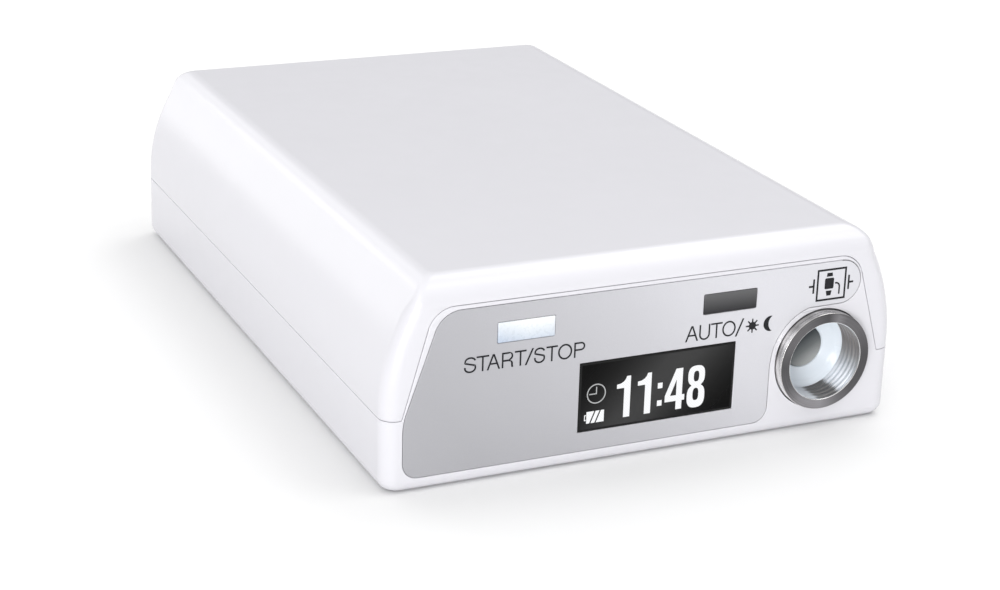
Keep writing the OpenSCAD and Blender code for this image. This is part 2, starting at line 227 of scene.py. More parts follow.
# ------------------------------------------------------------------ form of the case
HW, YR, YF, H = 33.0, 47.5, -46.5, 24.5
LEAN = radians(1.25)
SN, CL, SL = sin(LEAN), cos(LEAN), tan(LEAN)
SIDE_R, SIDE_Z, TOP_R, FOOT_R = 24.8, 9.6, 3.3, 1.8
FT_R, FF_R = 3.2, 1.5
REAR_R, REAR_Z, RT_R, RF_R = 70.0, 12.0, 1.5, 1.6
WALL, PART_Z, SEAM = 1.5, 8.8, 0.06
CX = HW - SIDE_R
XC = CX + sqrt((SIDE_R - TOP_R) ** 2 - (H - TOP_R - SIDE_Z) ** 2)
A1 = atan2(H - TOP_R - SIDE_Z, XC - CX)
SOCKET = (22.8, 8.9)


def half_w(z, t=0.0):
    rb = max(FOOT_R - t, 0.3)
    if z <= t + rb:
        return HW - t - rb + sqrt(max(rb * rb - (t + rb - z) ** 2, 0))
    if z <= SIDE_Z:
        return HW - t
    if z <= SIDE_Z + (SIDE_R - t) * sin(A1):
        return CX + sqrt((SIDE_R - t) ** 2 - (z - SIDE_Z) ** 2)
    return XC + sqrt(max((TOP_R - t) ** 2 - (z - H + TOP_R) ** 2, 0))


def front_y(z, t=0.0):
    ft, fb = FT_R - t, max(FF_R - t, 0.3)
    zf, zb = H - FT_R, t + fb
    yft, yfb = YF + SL * zf + FT_R / CL, YF + SL * zb + (t + fb) / CL
    if z < zb + fb * SN:
        return yfb - sqrt(max(fb * fb - (z - zb) ** 2, 0))
    if z > zf + ft * SN:
        return yft - sqrt(max(ft * ft - (z - zf) ** 2, 0))
    return YF + SL * z + t / CL


def rear_y(z, t=0.0):
    rb, rt = max(RF_R - t, 0.3), max(RT_R - t, 0.3)
    yc, zt = YR - REAR_R, H - t - rt
    yt = yc + sqrt((REAR_R - t - rt) ** 2 - (zt - REAR_Z) ** 2)
    a = atan2(zt - REAR_Z, yt - yc)
    if z <= t + rb:
        return YR - t - rb + sqrt(max(rb * rb - (t + rb - z) ** 2, 0))
    if z <= REAR_Z:
        return YR - t
    if z <= REAR_Z + (REAR_R - t) * sin(a):
        return yc + sqrt((REAR_R - t) ** 2 - (z - REAR_Z) ** 2)
    return yt + sqrt(max(rt * rt - (z - zt) ** 2, 0))


def corner(z, t, base):
    r = max(base - t, 0.5)
    rb = max(FOOT_R - t, 0.3)
    if z < t + rb:
        r = max(r - 0.3 * (HW - t - half_w(z, t)), 0.4)
    if z > H - TOP_R:
        r = max(r - (half_w(H - TOP_R, t) - half_w(z, t)), 0.8 if t == 0 else 0.3)
    return r


def plan_ring(z, t=0.0):
    """Outline of the case at height z, moved in by t."""
    w, yf, yr = half_w(z, t), front_y(z, t), rear_y(z, t)
    rf, rr = corner(z, t, 1.8), corner(z, t, 2.0)
    n, p = 10, []
    p += [(-(w - rf) + 2 * (w - rf) * i / n, yf) for i in range(n)]
    p += [(w - rf + rf * cos(radians(a)), yf + rf + rf * sin(radians(a))) for a in range(-90, 0, 10)]
    p += [(w, yf + rf + (yr - rr - yf - rf) * i / n) for i in range(n)]
    p += [(w - rr + rr * cos(radians(a)), yr - rr + rr * sin(radians(a))) for a in range(0, 90, 10)]
    p += [(w - rr - 2 * (w - rr) * i / n, yr) for i in range(n)]
    p += [(-w + rr + rr * cos(radians(a)), yr - rr + rr * sin(radians(a))) for a in range(90, 180, 10)]
    p += [(-w, yr - rr - (yr - rr - yf - rf) * i / n) for i in range(n)]
    p += [(-w + rf + rf * cos(radians(a)), yf + rf + rf * sin(radians(a))) for a in range(180, 270, 10)]
    return [(x, y, z) for x, y in p]


def case_levels(t):
    rb = max(FOOT_R - t, 0.3)
    low = [t + rb * (1 - cos(radians(a))) for a in range(0, 91, 9 if t == 0 else 30)]
    if t == 0:
        low += [FF_R * (1 - cos(radians(a))) for a in (20, 40, 55, 70, 82)]
    mid = [3.9, 6.4, 9.6, 10.6, 11.7, 12.8, 13.9, 15.0, 16.1, 17.2, 18.3, 19.4, 20.4]
    rt = TOP_R - t
    high = [H - TOP_R + rt * sin(radians(a)) for a in range(0, 91, 6 if t == 0 else 15)]
    zs = sorted(low + mid + high)
    out = [zs[0]]
    for z in zs[1:]:
        if z - out[-1] > 0.012:
            out.append(z)
    out[-1] = H - t
    return out


def case_solid(t, name="case", z0=None, z1=None):
    zs = case_levels(t)
    if z0 is not None:
        zs = [z0] + [z for z in zs if z0 < z < z1] + [z1]
    return loft(name, [plan_ring(z, t) for z in zs])


def panel(x, v, d=0.0):
    """Point on the front panel: x right, v up the panel, d deep behind its face."""
    return (x, YF + v * SN + d * CL, v * CL - d * SN)


def prism(poly, d0, d1, name="prism"):
    return loft(name, [[panel(x, v, d1) for x, v in poly], [panel(x, v, d0) for x, v in poly]])


def rect(x0, x1, v0, v1, r=0.0, n=4):
    if r <= 0:
        return [(x0, v0), (x1, v0), (x1, v1), (x0, v1)]
    return (arc(x1 - r, v0 + r, r, -90, 0, n) + arc(x1 - r, v1 - r, r, 0, 90, n)
            + arc(x0 + r, v1 - r, r, 90, 180, n) + arc(x0 + r, v0 + r, r, 180, 270, n))


def tongue(g):
    xb, xt, zt, z0, r = 30.8 + g, 27.1 + g, 21.42 + g, PART_Z, 3.25 + g
    k = math.degrees(atan2(xb - xt, zt - z0))
    c = xt - r * tan(radians((90 - k) / 2))
    return ([(xb, z0 - 4), (xb, z0)] + arc(c, zt - r, r, k, 90, 14)
            + arc(-c, zt - r, r, 90, 180 - k, 14) + [(-xb, z0), (-xb, z0 - 4)])


def foil(g):
    return (arc(14.0, 3.64, 1.86 - g, -90, 0, 9) + [(15.86 - g, 8.9)]
            + arc(SOCKET[0], SOCKET[1], 6.88 + g, 176, 107, 22)
            + arc(25.0, 18.22, 2.68 - g, -90, 90, 24)
            + arc(-23.9, 17.67, 3.25 - g, 90, 163, 12)
            + arc(-23.4, 7.2, 7.26 - g, 163, 180, 6)
            + arc(-28.8, 3.64, 1.86 - g, 180, 270, 9))


# ------------------------------------------------------------------ materials
def new_material(name):
    m = bpy.data.materials.new(name)
    m.use_nodes = True
    nt = m.node_tree
    return m, nt, nt.nodes["Principled BSDF"]


def node(nt, kind, **inputs):
    n = nt.nodes.new(kind)
    for k, v in inputs.items():
        if k in n.inputs:
            n.inputs[k].default_value = v
        else:
            setattr(n, k, v)
    return n


def coords(nt, stretch=(1, 1, 1)):
    tc = nt.nodes.new("ShaderNodeTexCoord")
    mp = nt.nodes.new("ShaderNodeMapping")
    mp.inputs["Scale"].default_value = stretch
    nt.links.new(tc.outputs["Object"], mp.inputs["Vector"])
    return mp.outputs["Vector"]


def noise(nt, scale, detail=3.0, rough=0.55, stretch=(1, 1, 1), distortion=0.0):
    n = nt.nodes.new("ShaderNodeTexNoise")
    n.inputs["Scale"].default_value = scale
    n.inputs["Detail"].default_value = detail
    n.inputs["Roughness"].default_value = rough
    n.inputs["Distortion"].default_value = distortion
    nt.links.new(coords(nt, stretch), n.inputs["Vector"])
    return n.outputs["Fac"]


def ramp(nt, fac, stops, interpolation="LINEAR"):
    r = nt.nodes.new("ShaderNodeValToRGB")
    r.color_ramp.interpolation = interpolation
    e = r.color_ramp.elements
    while len(e) > 1:
        e.remove(e[-1])
    e[0].position, e[0].color = stops[0][0], (*stops[0][1], 1)
    for pos, col in stops[1:]:
        x = e.new(pos)
        x.color = (*col, 1)
    nt.links.new(fac, r.inputs["Fac"])
    return r.outputs["Color"]


def map_range(nt, fac, a, b, lo=0.0, hi=1.0):
    m = nt.nodes.new("ShaderNodeMapRange")
    m.inputs["From Min"].default_value = lo
    m.inputs["From Max"].default_value = hi
    m.inputs["To Min"].default_value = a
    m.inputs["To Max"].default_value = b
    nt.links.new(fac, m.inputs["Value"])
    return m.outputs["Result"]


def bump(nt, bsdf, fac, strength, distance, chain=None):
    b = nt.nodes.new("ShaderNodeBump")
    b.inputs["Strength"].default_value = strength
    b.inputs["Distance"].default_value = distance
    nt.links.new(fac, b.inputs["Height"])
    if chain is not None:
        nt.links.new(chain, b.inputs["Normal"])
    nt.links.new(b.outputs["Normal"], bsdf.inputs["Normal"])
    return b.outputs["Normal"]


def shade(c, k):
    return tuple(min(x * k, 1) for x in c)


def plastic(name, colour, rough=0.35, vary=0.03, grain=0.25, depth=0.012, ior=1.5, coat=0.0, coat_rough=0.1, subsurface=0.0, spread=0.03):
    """Moulded plastic: a faint mottle in its colour and gloss, and a fine surface grain. grain and depth in millimetres."""
    m, nt, b = new_material(name)
    big = noise(nt, 60.0, 4.0)
    nt.links.new(ramp(nt, big, [(0.3, shade(colour, 1 - spread)), (0.7, shade(colour, 1 + spread))]), b.inputs["Base Color"])
    fine = noise(nt, 1000.0 / grain, 2.0)
    nt.links.new(map_range(nt, noise(nt, 350.0, 3.0), rough - vary, rough + vary, 0.3, 0.7), b.inputs["Roughness"])
    bump(nt, b, fine, 0.25, depth * 0.001)
    b.inputs["IOR"].default_value = ior
    b.inputs["Coat Weight"].default_value = coat
    b.inputs["Coat Roughness"].default_value = coat_rough
    b.inputs["Subsurface Weight"].default_value = subsurface
    b.inputs["Subsurface Radius"].default_value = (0.0012, 0.0011, 0.0011)
    b.inputs["Subsurface Scale"].default_value = 1.0
    return m


def metal(name, colour, rough=0.3, vary=0.08, stretch=(1, 1, 1), grain=0.12, depth=0.004, anisotropic=0.0, spread=0.06):
    """Bare metal with streaks along the directions that stretch leaves long."""
    m, nt, b = new_material(name)
    streak = noise(nt, 1000.0 / grain, 3.0, 0.6, stretch)
    nt.links.new(ramp(nt, streak, [(0.25, shade(colour, 1 - spread)), (0.75, shade(colour, 1 + spread))]), b.inputs["Base Color"])
    nt.links.new(map_range(nt, streak, rough - vary, rough + vary, 0.25, 0.75), b.inputs["Roughness"])
    bump(nt, b, streak, 0.3, depth * 0.001)
    b.inputs["Metallic"].default_value = 1.0
    b.inputs["Anisotropic"].default_value = anisotropic
    return m


def circuit(name):
    """Green board: solder mask over tracks."""
    m, nt, b = new_material(name)
    co = coords(nt, (1, 1, 1))
    v = nt.nodes.new("ShaderNodeTexVoronoi")
    v.feature = "DISTANCE_TO_EDGE"
    v.distance = "MANHATTAN" if hasattr(v, "distance") else v.distance
    v.inputs["Scale"].default_value = 420.0
    nt.links.new(co, v.inputs["Vector"])
    track = map_range(nt, v.outputs["Distance"], 1.0, 0.0, 0.02, 0.06)
    mix = nt.nodes.new("ShaderNodeMix")
    mix.data_type = "RGBA"
    mix.inputs["A"].default_value = (0.012, 0.085, 0.035, 1)
    mix.inputs["B"].default_value = (0.03, 0.19, 0.075, 1)
    nt.links.new(track, mix.inputs["Factor"])
    nt.links.new(mix.outputs["Result"], b.inputs["Base Color"])
    nt.links.new(map_range(nt, noise(nt, 900.0), 0.28, 0.42, 0.3, 0.7), b.inputs["Roughness"])
    bump(nt, b, track, 0.3, 0.00003)
    b.inputs["Coat Weight"].default_value = 0.3
    return m


def rubber(name, colour, rough=0.65):
    m, nt, b = new_material(name)
    nt.links.new(ramp(nt, noise(nt, 500.0, 5.0), [(0.3, shade(colour, 0.8)), (0.7, shade(colour, 1.25))]), b.inputs["Base Color"])
    nt.links.new(map_range(nt, noise(nt, 2500.0), rough - 0.08, rough + 0.08, 0.3, 0.7), b.inputs["Roughness"])
    bump(nt, b, noise(nt, 5000.0, 2.0), 0.4, 0.00002)
    b.inputs["Sheen Weight"].default_value = 0.15
    return m


def axis_fac(nt, axis, lo, hi, a=0.0, b=1.0):
    """From a to b along an axis of the piece, between lo and hi in metres."""
    tc = nt.nodes.new("ShaderNodeTexCoord")
    s = nt.nodes.new("ShaderNodeSeparateXYZ")
    nt.links.new(tc.outputs["Object"], s.inputs["Vector"])
    return map_range(nt, s.outputs[axis], a, b, lo, hi)


def plus(nt, a, b, how="ADD"):
    m = nt.nodes.new("ShaderNodeMath")
    m.operation = how
    nt.links.new(a, m.inputs[0])
    nt.links.new(b, m.inputs[1])
    return m.outputs[0]


def times(nt, a, b):
    """Product of two colours."""
    m = nt.nodes.new("ShaderNodeMix")
    m.data_type = "RGBA"
    m.blend_type = "MULTIPLY"
    m.inputs["Factor"].default_value = 1.0
    nt.links.new(a, m.inputs["A"])
    nt.links.new(b, m.inputs["B"])
    return m.outputs["Result"]


def mix_colour(nt, fac, a, b):
    m = nt.nodes.new("ShaderNodeMix")
    m.data_type = "RGBA"
    for socket, value in (("A", a), ("B", b)):
        if isinstance(value, tuple):
            m.inputs[socket].default_value = (*value, 1)
        else:
            nt.links.new(value, m.inputs[socket])
    nt.links.new(fac, m.inputs["Factor"])
    return m.outputs["Result"]


def case_material():
    m = plastic("case_gloss", (0.62, 0.616, 0.65), rough=0.24, vary=0.02, grain=0.3, depth=0.004, ior=1.5, spread=0.006)
    return m


def foil_material():
    """Satin silver foil with painted light: its colour runs from grey at the lower left to pale silver at the right,
    standing in for how the light falls across it.
    """
    m, nt, b = new_material("label_foil")
    flake = noise(nt, 9000.0, 2.0, 0.7)
    # painted light: darker to the left and lower down, lighter to the right and higher up
    t = plus(nt, axis_fac(nt, "X", -0.027, 0.020), axis_fac(nt, "Z", 0.0, 0.021, -0.16, 0.16))
    stops = [(0.0, 0.395), (0.12, 0.415), (0.22, 0.43), (0.36, 0.462), (0.62, 0.53), (0.8, 0.60), (1.0, 0.645)]
    painted_light_tone = ramp(nt, t, [(p, (v, v * 0.998, v * 1.055)) for p, v in stops])
    grain = ramp(nt, flake, [(0.3, (0.95, 0.95, 0.95)), (0.7, (1.0, 1.0, 1.0))])
    nt.links.new(times(nt, painted_light_tone, grain), b.inputs["Base Color"])
    nt.links.new(map_range(nt, flake, 0.36, 0.46, 0.3, 0.7), b.inputs["Roughness"])
    bump(nt, b, flake, 0.15, 0.000004)
    b.inputs["Metallic"].default_value = 0.35
    return m


def window_material():
    """Black lens with a painted reflection: a faint grey sheen painted into its colour along a slanted line, fading to
    both sides.
    """
    m, nt, b = new_material("window_black")
    x, z = axis_fac(nt, "X", -0.0093, 0.01093), axis_fac(nt, "Z", 0.00415, 0.01255, 0.288, 0.708)
    # painted reflection: distance from the slanted line sets how much grey sheen is painted
    off_painted_sheen = nt.nodes.new("ShaderNodeMath")
    off_painted_sheen.operation = "ABSOLUTE"
    nt.links.new(plus(nt, x, z, "SUBTRACT"), off_painted_sheen.inputs[0])
    stops = [(0.0, 0.0385), (0.1, 0.036), (0.2, 0.0255), (0.3, 0.016), (0.4, 0.0085), (0.5, 0.004), (0.6, 0.0015)]
    col = ramp(nt, map_range(nt, off_painted_sheen.outputs[0], 0.0, 1.0, 0.0, 0.6), [(p / 0.6, (v, v, v * 1.01)) for p, v in stops])
    nt.links.new(col, b.inputs["Base Color"])
    nt.links.new(map_range(nt, noise(nt, 700.0), 0.08, 0.13, 0.3, 0.7), b.inputs["Roughness"])
    b.inputs["Specular IOR Level"].default_value = 0.08
    bump(nt, b, noise(nt, 150.0, 1.0), 0.05, 0.00001)
    return m


def border_material():
    m, nt, b = new_material("window_border")
    nt.links.new(ramp(nt, noise(nt, 800.0), [(0.3, (0.003, 0.003, 0.003)), (0.7, (0.006, 0.006, 0.006))]), b.inputs["Base Color"])
    nt.links.new(map_range(nt, noise(nt, 2000.0), 0.32, 0.4, 0.3, 0.7), b.inputs["Roughness"])
    b.inputs["Specular IOR Level"].default_value = 0.2
    return m


def glow_material():
    m, nt, b = new_material("display_glow")
    cell = nt.nodes.new("ShaderNodeTexChecker")
    cell.inputs["Scale"].default_value = 6000.0
    cell.inputs["Color1"].default_value = (1, 1, 1, 1)
    cell.inputs["Color2"].default_value = (0.9, 0.92, 0.95, 1)
    nt.links.new(coords(nt), cell.inputs["Vector"])
    nt.links.new(cell.outputs["Color"], b.inputs["Emission Color"])
    b.inputs["Emission Strength"].default_value = 0.97
    b.inputs["Base Color"].default_value = (0.03, 0.03, 0.03, 1)
    b.inputs["Roughness"].default_value = 0.4
    b.inputs["Specular IOR Level"].default_value = 0.1
    return m


def dim_glow_material():
    m, nt, b = new_material("display_glow_dim")
    cell = nt.nodes.new("ShaderNodeTexChecker")
    cell.inputs["Scale"].default_value = 6000.0
    cell.inputs["Color1"].default_value = (0.62, 0.63, 0.63, 1)
    cell.inputs["Color2"].default_value = (0.54, 0.55, 0.56, 1)
    nt.links.new(coords(nt), cell.inputs["Vector"])
    nt.links.new(cell.outputs["Color"], b.inputs["Emission Color"])
    b.inputs["Emission Strength"].default_value = 0.8
    b.inputs["Base Color"].default_value = (0.03, 0.03, 0.03, 1)
    b.inputs["Roughness"].default_value = 0.4
    b.inputs["Specular IOR Level"].default_value = 0.1
    return m


def ink_material():
    m, nt, b = new_material("panel_ink")
    nt.links.new(ramp(nt, noise(nt, 6000.0, 3.0), [(0.3, (0.008, 0.008, 0.010)), (0.7, (0.016, 0.016, 0.019))]), b.inputs["Base Color"])
    nt.links.new(map_range(nt, noise(nt, 3000.0), 0.45, 0.6, 0.3, 0.7), b.inputs["Roughness"])
    b.inputs["Specular IOR Level"].default_value = 0.2
    return m


def white_key_material():
    """Translucent white, with painted shade: a cool, darker tone painted into its colour that grows towards its lower
    left.
    """
    m, nt, b = new_material("button_white")
    x, z = axis_fac(nt, "X", -0.0195, -0.0160, 0.0, 0.3), axis_fac(nt, "Z", 0.0165, 0.0187, 0.0, 0.7)
    f = plus(nt, x, z)
    # painted shade: darker and cooler at the lower left, lighter at the upper right
    nt.links.new(ramp(nt, f, [(0.0, (0.40, 0.46, 0.56)), (0.35, (0.50, 0.55, 0.62)), (0.7, (0.63, 0.665, 0.70)), (1.0, (0.75, 0.765, 0.78))]), b.inputs["Base Color"])
    nt.links.new(map_range(nt, noise(nt, 2500.0), 0.26, 0.3, 0.3, 0.7), b.inputs["Roughness"])
    b.inputs["Subsurface Weight"].default_value = 0.1
    b.inputs["Subsurface Radius"].default_value = (0.0004, 0.0005, 0.0006)
    b.inputs["Subsurface Scale"].default_value = 1.0
    bump(nt, b, noise(nt, 4000.0), 0.04, 0.000003)
    return m


def dark_key_material():
    m, nt, b = new_material("button_dark")
    z = axis_fac(nt, "Z", 0.0164, 0.0188)
    # painted light: the cap's colour runs from near black at its bottom to dark grey at its top
    nt.links.new(mix_colour(nt, z, (0.008, 0.008, 0.010), (0.096, 0.096, 0.099)), b.inputs["Base Color"])
    b.inputs["Specular IOR Level"].default_value = 0.3
    nt.links.new(map_range(nt, noise(nt, 2500.0), 0.3, 0.4, 0.3, 0.7), b.inputs["Roughness"])
    bump(nt, b, noise(nt, 4000.0), 0.1, 0.000004)
    return m


def turned_material(name, painted_light_by_angle, rough, spread=0.1, anisotropic=0.6, ring=0.05, tint=(1.0, 1.0, 1.0), metallic=1.0):
    """Turned metal: fine rings round the axis of the piece, which is its own Z, and painted light: brightness painted
    by the angle round it, standing in for its reflections and shade.
    painted_light_by_angle: (angle in degrees from its +X, brightness), from -180 to 180."""
    m, nt, b = new_material(name)
    tc = nt.nodes.new("ShaderNodeTexCoord")
    s = nt.nodes.new("ShaderNodeSeparateXYZ")
    nt.links.new(tc.outputs["Object"], s.inputs["Vector"])

    def op(kind, a, c=None):
        n = nt.nodes.new("ShaderNodeMath")
        n.operation = kind
        nt.links.new(a, n.inputs[0])
        if c is not None:
            if isinstance(c, float):
                n.inputs[1].default_value = c
            else:
                nt.links.new(c, n.inputs[1])
        return n.outputs[0]

    r = op("SQRT", op("ADD", op("POWER", s.outputs["X"], 2.0), op("POWER", s.outputs["Y"], 2.0)))
    ang = op("ARCTAN2", s.outputs["Y"], s.outputs["X"])
    c = nt.nodes.new("ShaderNodeCombineXYZ")
    nt.links.new(op("MULTIPLY", r, 1000.0 / ring), c.inputs["X"])
    nt.links.new(op("MULTIPLY", ang, 0.6), c.inputs["Y"])
    nt.links.new(op("MULTIPLY", s.outputs["Z"], 1000.0 / ring), c.inputs["Z"])
    n = nt.nodes.new("ShaderNodeTexNoise")
    n.inputs["Scale"].default_value = 1.0
    n.inputs["Detail"].default_value = 3.0
    nt.links.new(c.outputs["Vector"], n.inputs["Vector"])
    # the angle wanders a little from ring to ring, which breaks up the edges of the painted sheen
    wander = op("ADD", map_range(nt, ang, 0.0, 1.0, -pi, pi), map_range(nt, n.outputs["Fac"], -0.014, 0.014, 0.25, 0.75))
    stops = [((a + 180.0) / 360.0, tuple(v * t for t in (own[0] if own else tint))) for a, v, *own in painted_light_by_angle]
    painted_light_tone = ramp(nt, wander, stops)
    streak = ramp(nt, n.outputs["Fac"], [(0.25, (1 - spread, 1 - spread, 1 - spread)), (0.75, (1 + spread, 1 + spread, 1 + spread))])
    nt.links.new(times(nt, painted_light_tone, streak), b.inputs["Base Color"])
    nt.links.new(map_range(nt, n.outputs["Fac"], rough - 0.05, rough + 0.05, 0.25, 0.75), b.inputs["Roughness"])
    bump(nt, b, n.outputs["Fac"], 0.2, 0.000003)
    t = nt.nodes.new("ShaderNodeTangent")
    t.direction_type = "RADIAL"
    t.axis = "Z"
    nt.links.new(t.outputs["Tangent"], b.inputs["Tangent"])
    b.inputs["Metallic"].default_value = metallic
    b.inputs["Anisotropic"].default_value = anisotropic
    return m


CASE = case_material()
FOIL = foil_material()
# dark colour painted on part of the foil's edge: painted shade along the gap round the foil
FOIL_PAINTED_SHADE = plastic("foil_painted_shade", (0.10, 0.10, 0.105), 0.5)
WINDOW = window_material()
BORDER = border_material()
GLOW = glow_material()
DIM = dim_glow_material()
INK = ink_material()
WHITE_KEY = white_key_material()
DARK_KEY = dark_key_material()
# the brightness listed by angle for the socket's face, side, thread and edge is painted light: it stands in for the
# reflections and shade round the ring
FACE = turned_material("socket_face", [(-180, 0.11), (-150, 0.14), (-125, 0.26), (-92, 0.31), (-66, 0.17), (-45, 0.115), (0, 0.10), (40, 0.16), (62, 0.145), (75, 0.22),
                                       (90, 0.09), (120, 0.15), (150, 0.165), (180, 0.11)], 0.36, 0.18, 0.6, tint=(1.0, 0.975, 1.02))
SIDE = turned_material("socket_side", [(-180, 0.80), (-130, 0.85), (-90, 0.5), (0, 0.4), (60, 0.3), (85, 0.45), (100, 0.62), (112, 0.35), (122, 0.5), (132, 0.38), (142, 0.75),
                                       (152, 0.72), (160, 0.34), (168, 0.42), (180, 0.80)], 0.24, 0.1, 0.3, tint=(1.0, 0.985, 0.97))
COOL, WARM = (0.95, 0.99, 1.05), (1.05, 0.985, 0.97)
THREAD = turned_material("socket_thread", [(-180, 0.50, COOL), (-125, 0.66, COOL), (-97, 0.62, COOL), (-91, 0.14), (-62, 0.13), (-57, 0.74, COOL), (-45, 0.92, COOL), (-32, 0.80, COOL), (-20, 0.50, COOL),
                                           (-5, 0.27), (12, 0.19, WARM), (35, 0.25, WARM), (62, 0.2, WARM), (90, 0.3), (180, 0.50, COOL)], 0.34, 0.12, 0.2, tint=(1.0, 0.985, 0.985), metallic=0.3)
EDGE = turned_material("socket_edge", [(-180, 0.8), (0, 0.72), (90, 0.8), (180, 0.8)], 0.25, 0.05, 0.2)
SEAT = plastic("seat_white", (0.745, 0.80, 0.86), rough=0.25, vary=0.03, grain=0.2, depth=0.004, subsurface=0.15, spread=0.01)
SCREW = metal("screw_black", (0.09, 0.09, 0.095), rough=0.38, grain=0.2, spread=0.2)

# ------------------------------------------------------------------ the two case halves
BOSSES = [(-28.3, -37), (28.3, -37), (-28.3, 11), (28.3, 11)]
DOOR_X, DOOR_Y, LIP_Z = 27.95, 15.0, 6.4
PORT_Y, PORT_Z = -12.0, 5.4
START_X, AUTO_X, BUTTON_Z, BUTTON_W, BUTTON_H, GAP, FOIL_GAP = -16.03, 9.95, 17.65, 7.0, 2.4, 0.12, 0.045


def lip_ring(t0, t1, z0, z1):
    """Band of the wall between two insets, open at the front panel."""
    a = case_solid(t0, "lip", z0, z1)
    cut(a, case_solid(t1, "lip_in", z0 - 1, z1 + 1))
    cut(a, box(-40, 40, -60, -40, -5, 30))
    return a


def make_top():
    ob = case_solid(0.0, "upper_case")
    cut(ob, box(-40, 40, -60, 60, -5, PART_Z + SEAM))
    cut(ob, prism(tongue(SEAM), -3, WALL + 0.35 + SEAM))
    cut(ob, case_solid(WALL, "inside"))
    cut(ob, lip_ring(0.7, WALL + 0.2, PART_Z - 1, PART_Z + 1.05))
    for x, y in BOSSES:
        post = rod((x, y, PART_Z + 0.3), "z", H - 2.0 - PART_Z, 2.9, 32)
        cut(post, case_solid(0.62, "clip"), "INTERSECT")
        cut(ob, post, "UNION")
        cut(ob, rod((x, y, PART_Z - 2), "z", 9.2, 1.02, 24))
    soften(ob, 0.07)
    tidy(ob, 2e-4, normals=False)
    return finish_piece(ob, [CASE], "case", ["top_case"], sharp=50)


def lower_block():
    b = box(-40, 40, -60, 60, -5, PART_Z)
    return cut(b, prism(tongue(0), -3, WALL + 0.35), "UNION")


def make_bottom():
    ob = case_solid(0.0, "lower_case")
    cut(ob, lower_block(), "INTERSECT")
    cut(ob, case_solid(WALL, "inside"))
    cut(ob, lip_ring(0.8, WALL + 0.15, PART_Z - 0.6, PART_Z + 1.0), "UNION")
    for x, y in BOSSES:
        post = rod((x, y, 0.6), "z", PART_Z - 0.8, 2.9, 32)
        cut(post, case_solid(0.52, "clip"), "INTERSECT")
        cut(ob, post, "UNION")
        cut(ob, rod((x, y, -1), "z", 5.6, 2.1, 40))
        cut(ob, rod((x, y, -1), "z", 12.0, 1.15, 24))
    # pad behind the data port
    cut(ob, box(28.6, 31.75, PORT_Y - 7.2, PORT_Y + 7.2, 1.2, 8.6), "UNION")
    # foil recess, window pocket and opening, button slots, socket hole
    cut(ob, prism(foil(-0.06), -2, 0.24))
    cut(ob, prism(rect(-9.24, 11.04, 4.10, 12.60), -2, 1.04))
    cut(ob, prism(rect(-8.2, 9.8, 5.2, 11.5), -2, 4))
    for x in (START_X, AUTO_X):
        cut(ob, prism(rect(x - BUTTON_W / 2 - GAP, x + BUTTON_W / 2 + GAP, BUTTON_Z - BUTTON_H / 2 - GAP, BUTTON_Z + BUTTON_H / 2 + GAP, 0.2, 3), -2, 3))
    cut(ob, rod((SOCKET[0], YF - 3, SOCKET[1]), "y", 9, 6.22, 96))
    # battery opening, rear lip, rail grooves
    cut(ob, box(-DOOR_X - 0.12, DOOR_X + 0.12, DOOR_Y - 0.12, YR + 5, -2, WALL + 0.05))
    cut(ob, box(-DOOR_X - 0.12, DOOR_X + 0.12, YR - WALL - 0.3, YR + 5, -2, LIP_Z + 0.12))
    for s in (-1, 1):
        x0 = s * (DOOR_X + 0.5)
        cut(ob, box(x0 - 0.5, x0 + 0.5, DOOR_Y + 0.1, DOOR_Y + 60, 0.38, 0.98))
    # port recess, pin holes and opening
    cut(ob, box(31.8, 40, PORT_Y - 6, PORT_Y + 6, 2.1, 8.2))
    cut(ob, rod((32.45, PORT_Y - 7, 2.95), "y", 14, 0.45, 20))
    cut(ob, box(20, 33, PORT_Y - 3.9, PORT_Y + 3.9, PORT_Z - 1.45, PORT_Z + 1.45))
    # sound holes
    for i in (-1, 0, 1):
        cut(ob, rod((-16 + 2.4 * i, -28, -1), "z", 4, 0.6, 24))
    soften(ob, 0.07)
    tidy(ob, 2e-4, normals=False)
    return finish_piece(ob, [CASE], "case", ["bottom_case"], sharp=50)


make_top()
make_bottom()


# ------------------------------------------------------------------ battery door
def make_door():
    ob = case_solid(0.0, "battery_cover")
    cut(ob, box(-DOOR_X, DOOR_X, DOOR_Y, YR + 5, -2, LIP_Z), "INTERSECT")
    cut(ob, case_solid(WALL, "inside"))
    # finger grip: rounded grooves and an arrow that shows which way it slides
    for i in range(5):
        y = DOOR_Y + 6.45 + 1.8 * i
        g = rod((-8.55, y, -0.28), "x", 17.1, 0.52, 20)
        cut(ob, g)
    tri = [(-2.2, DOOR_Y + 16.4), (2.2, DOOR_Y + 16.4), (0, DOOR_Y + 18.9)]
    cut(ob, loft("arrow", [[(x, y, -1) for x, y in tri], [(x, y, 0.22) for x, y in tri]]))
    for s in (-1, 1):
        x0 = s * (DOOR_X + 0.3)
        cut(ob, box(x0 - 0.5, x0 + 0.5, DOOR_Y + 0.3, DOOR_Y + 30.3, 0.45, 0.9), "UNION")
    soften(ob, 0.07)
    inside(ob)
    return finish_piece(ob, [CASE], "door", ["battery_door"], sharp=50)


make_door()


